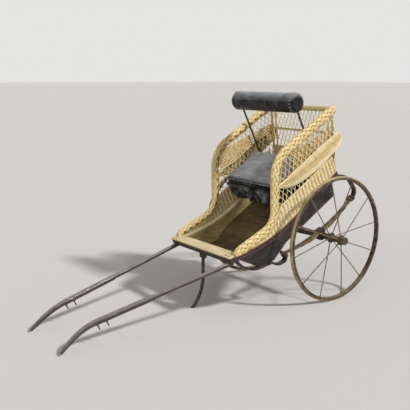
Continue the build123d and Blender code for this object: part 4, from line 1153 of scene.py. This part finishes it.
# %% Torn flaps under the seat
FLAP_COLUMNS = 64
FLAP_ROWS = 12
FLAP_THICKNESS = 0.0012
TONGUE_WIDTH = 55
TEAR_WIDTH = 16
FOLD_OUT = 5.5
RIPPLE_OUT = 3.5
WAVE_SPANS = ((4, 11), (0, 6), (0.3, 1.0))
# Each flap: name, right end, left end, drop, lean outward and a seed
FLAPS = (
    ("flap_back", -198, 198, 74, -2.0, 5),
    ("flap_right", -196, -20, 70, 5.0, 9),
    ("flap_left", -40, 160, 96, 8.0, 14),
)
torn_cloth = Finish("torn_cloth", roughness=0.4, coat=0.1, specular=0.2)
torn_scuff_and_highlight = torn_cloth.noise(torn_cloth.place(), 26.0, detail=8, roughness=0.72, distortion=0.6)
# The pale greys in this noise are painted highlights as well as scuffs.
torn_cloth.paint(torn_cloth.ramp(
    torn_scuff_and_highlight, (0.4, "0C0C0D"), (0.5, "2C2D2D"), (0.59, "707172"), (0.7, "B0B1AD")))
torn_places = torn_cloth.place(stretch=(1, 1.6, 1))
torn_cloth.bump(torn_cloth.noise(torn_places, 34.0, detail=3, distortion=1.5), 0.006)
dress(torn_cloth, "seat_board")


def ragged_flap(name, right_end, left_end, drop, lean_out, seed):
    """A torn strip of cloth that hangs from the front of the seat board."""
    chance = random.Random(seed)
    width = left_end - right_end
    tongues = sorted(chance.uniform(0, 1) for _ in range(max(4, int(width / TONGUE_WIDTH))))
    lengths = [chance.uniform(0.6, 1.0) for _ in range(len(tongues) + 1)]
    waves = [[chance.uniform(*span) for span in WAVE_SPANS] for _ in range(4)]
    mesh = bmesh.new()
    columns, flat_area = [], 0.0
    for column in range(FLAP_COLUMNS + 1):
        share = column / FLAP_COLUMNS
        y = right_end + width * share
        tongue = sum(place < share for place in tongues)
        nearest = min(abs(place - share) for place in tongues)
        tear = min(1.0, 0.35 + nearest * width / TEAR_WIDTH)
        length = drop * lengths[tongue] * tear * chance.uniform(0.96, 1.0)
        flat_area += length * width / FLAP_COLUMNS
        fold = sum(height * sin(share * rate * pi + phase) for rate, phase, height in waves)
        rows = []
        for row in range(FLAP_ROWS + 1):
            down = length * row / FLAP_ROWS
            fallen = down / drop
            out = lean_out * (0.4 + fallen) + fold * FOLD_OUT * fallen ** 1.2
            out += RIPPLE_OUT * sin(down / 7 + share * 26) * fallen
            rows.append(mesh.verts.new(level(SEAT_FRONT + 3 + out, y, SEAT_TOP + 2 - down * 0.94)))
        columns.append(rows)
    for before, after in zip(columns, columns[1:]):
        for row in range(FLAP_ROWS):
            mesh.faces.new((before[row], before[row + 1], after[row + 1], after[row]))
    data = bpy.data.meshes.new(name)
    mesh.to_mesh(data)
    mesh.free()
    flap = bpy.data.objects.new(name, data)
    bpy.context.collection.objects.link(flap)
    thick = flap.modifiers.new("thick", "SOLIDIFY")
    thick.thickness = FLAP_THICKNESS
    apply_modifiers(flap)
    flap.data.transform(to_cart)
    put_on_cart(flap, torn_cloth)
    return flap


flaps = [ragged_flap(*row) for row in FLAPS]
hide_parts("seat_valance")
print("flaps:", [flap.name for flap in flaps])

# %% [markdown]
# Inside the body a pale batten lies along each sill, against the wicker; its wood is coloured paler
# than it is, as painted light, since the near wall shades it. Thin red lines are painted along the
# outside of the sills and the lower edge of the panels, with painted highlight in their paler pink.
# Both follow the sill's own curve.

# %% Battens and painted lines
BATTEN_Y = 213.0
BATTEN_DROP = 6
BATTEN_HALF, BATTEN_DEPTH = 12.0, 9.5
PAINT_Y = 232.2
PANEL_PAINT_Y = PAINT_Y - 5
LINE_DROPS = (5.0, 18.5)
LINE_HALF, PANEL_LINE_HALF, LINE_DEPTH = 1.7, 1.4, 0.35
PANEL_LOW = ((489, 186), (414, 90), (320, 68), (219, 105), (-155, 146))
# Painted light: the batten's wood is coloured paler than it is, because the near wall shades it.
bare_wood_painted_light = plain_finish(
    "bare_wood_painted_light", (4, 50, 50), 2.5, FINE, (0.3, "C8B380"), (0.5, "EADBAE"), (0.75, "F6ECCB"),
    bump=0.0004, roughness=0.6)
# The paler pink in this noise is painted highlight on the lines.
red_line = plain_finish(
    "red_line", EVEN, 60.0, {"detail": 5}, (0.36, "3A1916"), (0.5, "7C3632"), (0.72, "B27A6E"),
    bump=None, roughness=0.5)
line_top = SILL_TOP[:-1] + [(SILL_TOP[-1][0] + 2, SILL_TOP[-1][1])]
for name, side in SIDES.items():
    batten = Loom(f"inner_batten_{name}", 141 + side)
    places = [(u, height_at(SILL_TOP, u) - BATTEN_DROP) for u in range(500, -200, -14)]
    run = [level(u, side * BATTEN_Y, w) for u, w in places]
    batten.strand(run, BATTEN_HALF, BATTEN_DEPTH, UP_Y, 0.5, sides=4)
    batten.make(bare_wood_painted_light)
    lines = Loom(f"red_lines_{name}", 151 + side)
    for drop in LINE_DROPS:
        run = [level(u, side * PAINT_Y, w - drop) for u, w in line_top]
        lines.strand(run, LINE_HALF, LINE_DEPTH, UP_Y, 0.5, sides=4)
    places = [(u, height_at(PANEL_LOW, u) + 6) for u in range(214, -150, -12)]
    run = [level(u, side * PANEL_PAINT_Y, w) for u, w in places]
    lines.strand(run, PANEL_LINE_HALF, LINE_DEPTH, UP_Y, 0.5, sides=4)
    lines.make(red_line)

# %% [markdown]
# Nails hold the front board down at its ends, and a row of them closes the slanted edge of the
# foot well on each side. Each is a small ball sunk half into the wood, so a dome shows. The balls
# of one side are joined and their places are kept in the mesh.

# %% Nail heads
NAIL_RADIUS = 0.0030
BOARD_NAILS = ((541, 222), (541, 200), (507, 222), (507, 200))
BOARD_TOP = 237.5
WELL_EDGE = (Vector((226.0, 108.0)), Vector((314.0, 75.0)))
WELL_NAILS = 9
WELL_NAIL_Y = 227
shares = [nail / (WELL_NAILS - 1) for nail in range(WELL_NAILS)]
well_places = [WELL_EDGE[0].lerp(WELL_EDGE[1], share) for share in shares]
for name, side in SIDES.items():
    places = [level(u, side * y, BOARD_TOP) for u, y in BOARD_NAILS]
    places += [level(u, side * WELL_NAIL_Y, w) for u, w in well_places]
    balls = []
    for place in places:
        bpy.ops.mesh.primitive_uv_sphere_add(
            segments=12, ring_count=6, radius=NAIL_RADIUS, location=to_cart @ place)
        balls.append(bpy.context.object)
    bpy.ops.object.select_all(action="DESELECT")
    for ball in balls:
        ball.select_set(True)
    bpy.ops.object.join()
    bpy.ops.object.transform_apply(location=True, rotation=True, scale=True)
    nails = bpy.context.object
    nails.name = f"nail_heads_{name}"
    put_on_cart(nails, worn_iron)
    print(nails.name, "nails:", len(places))
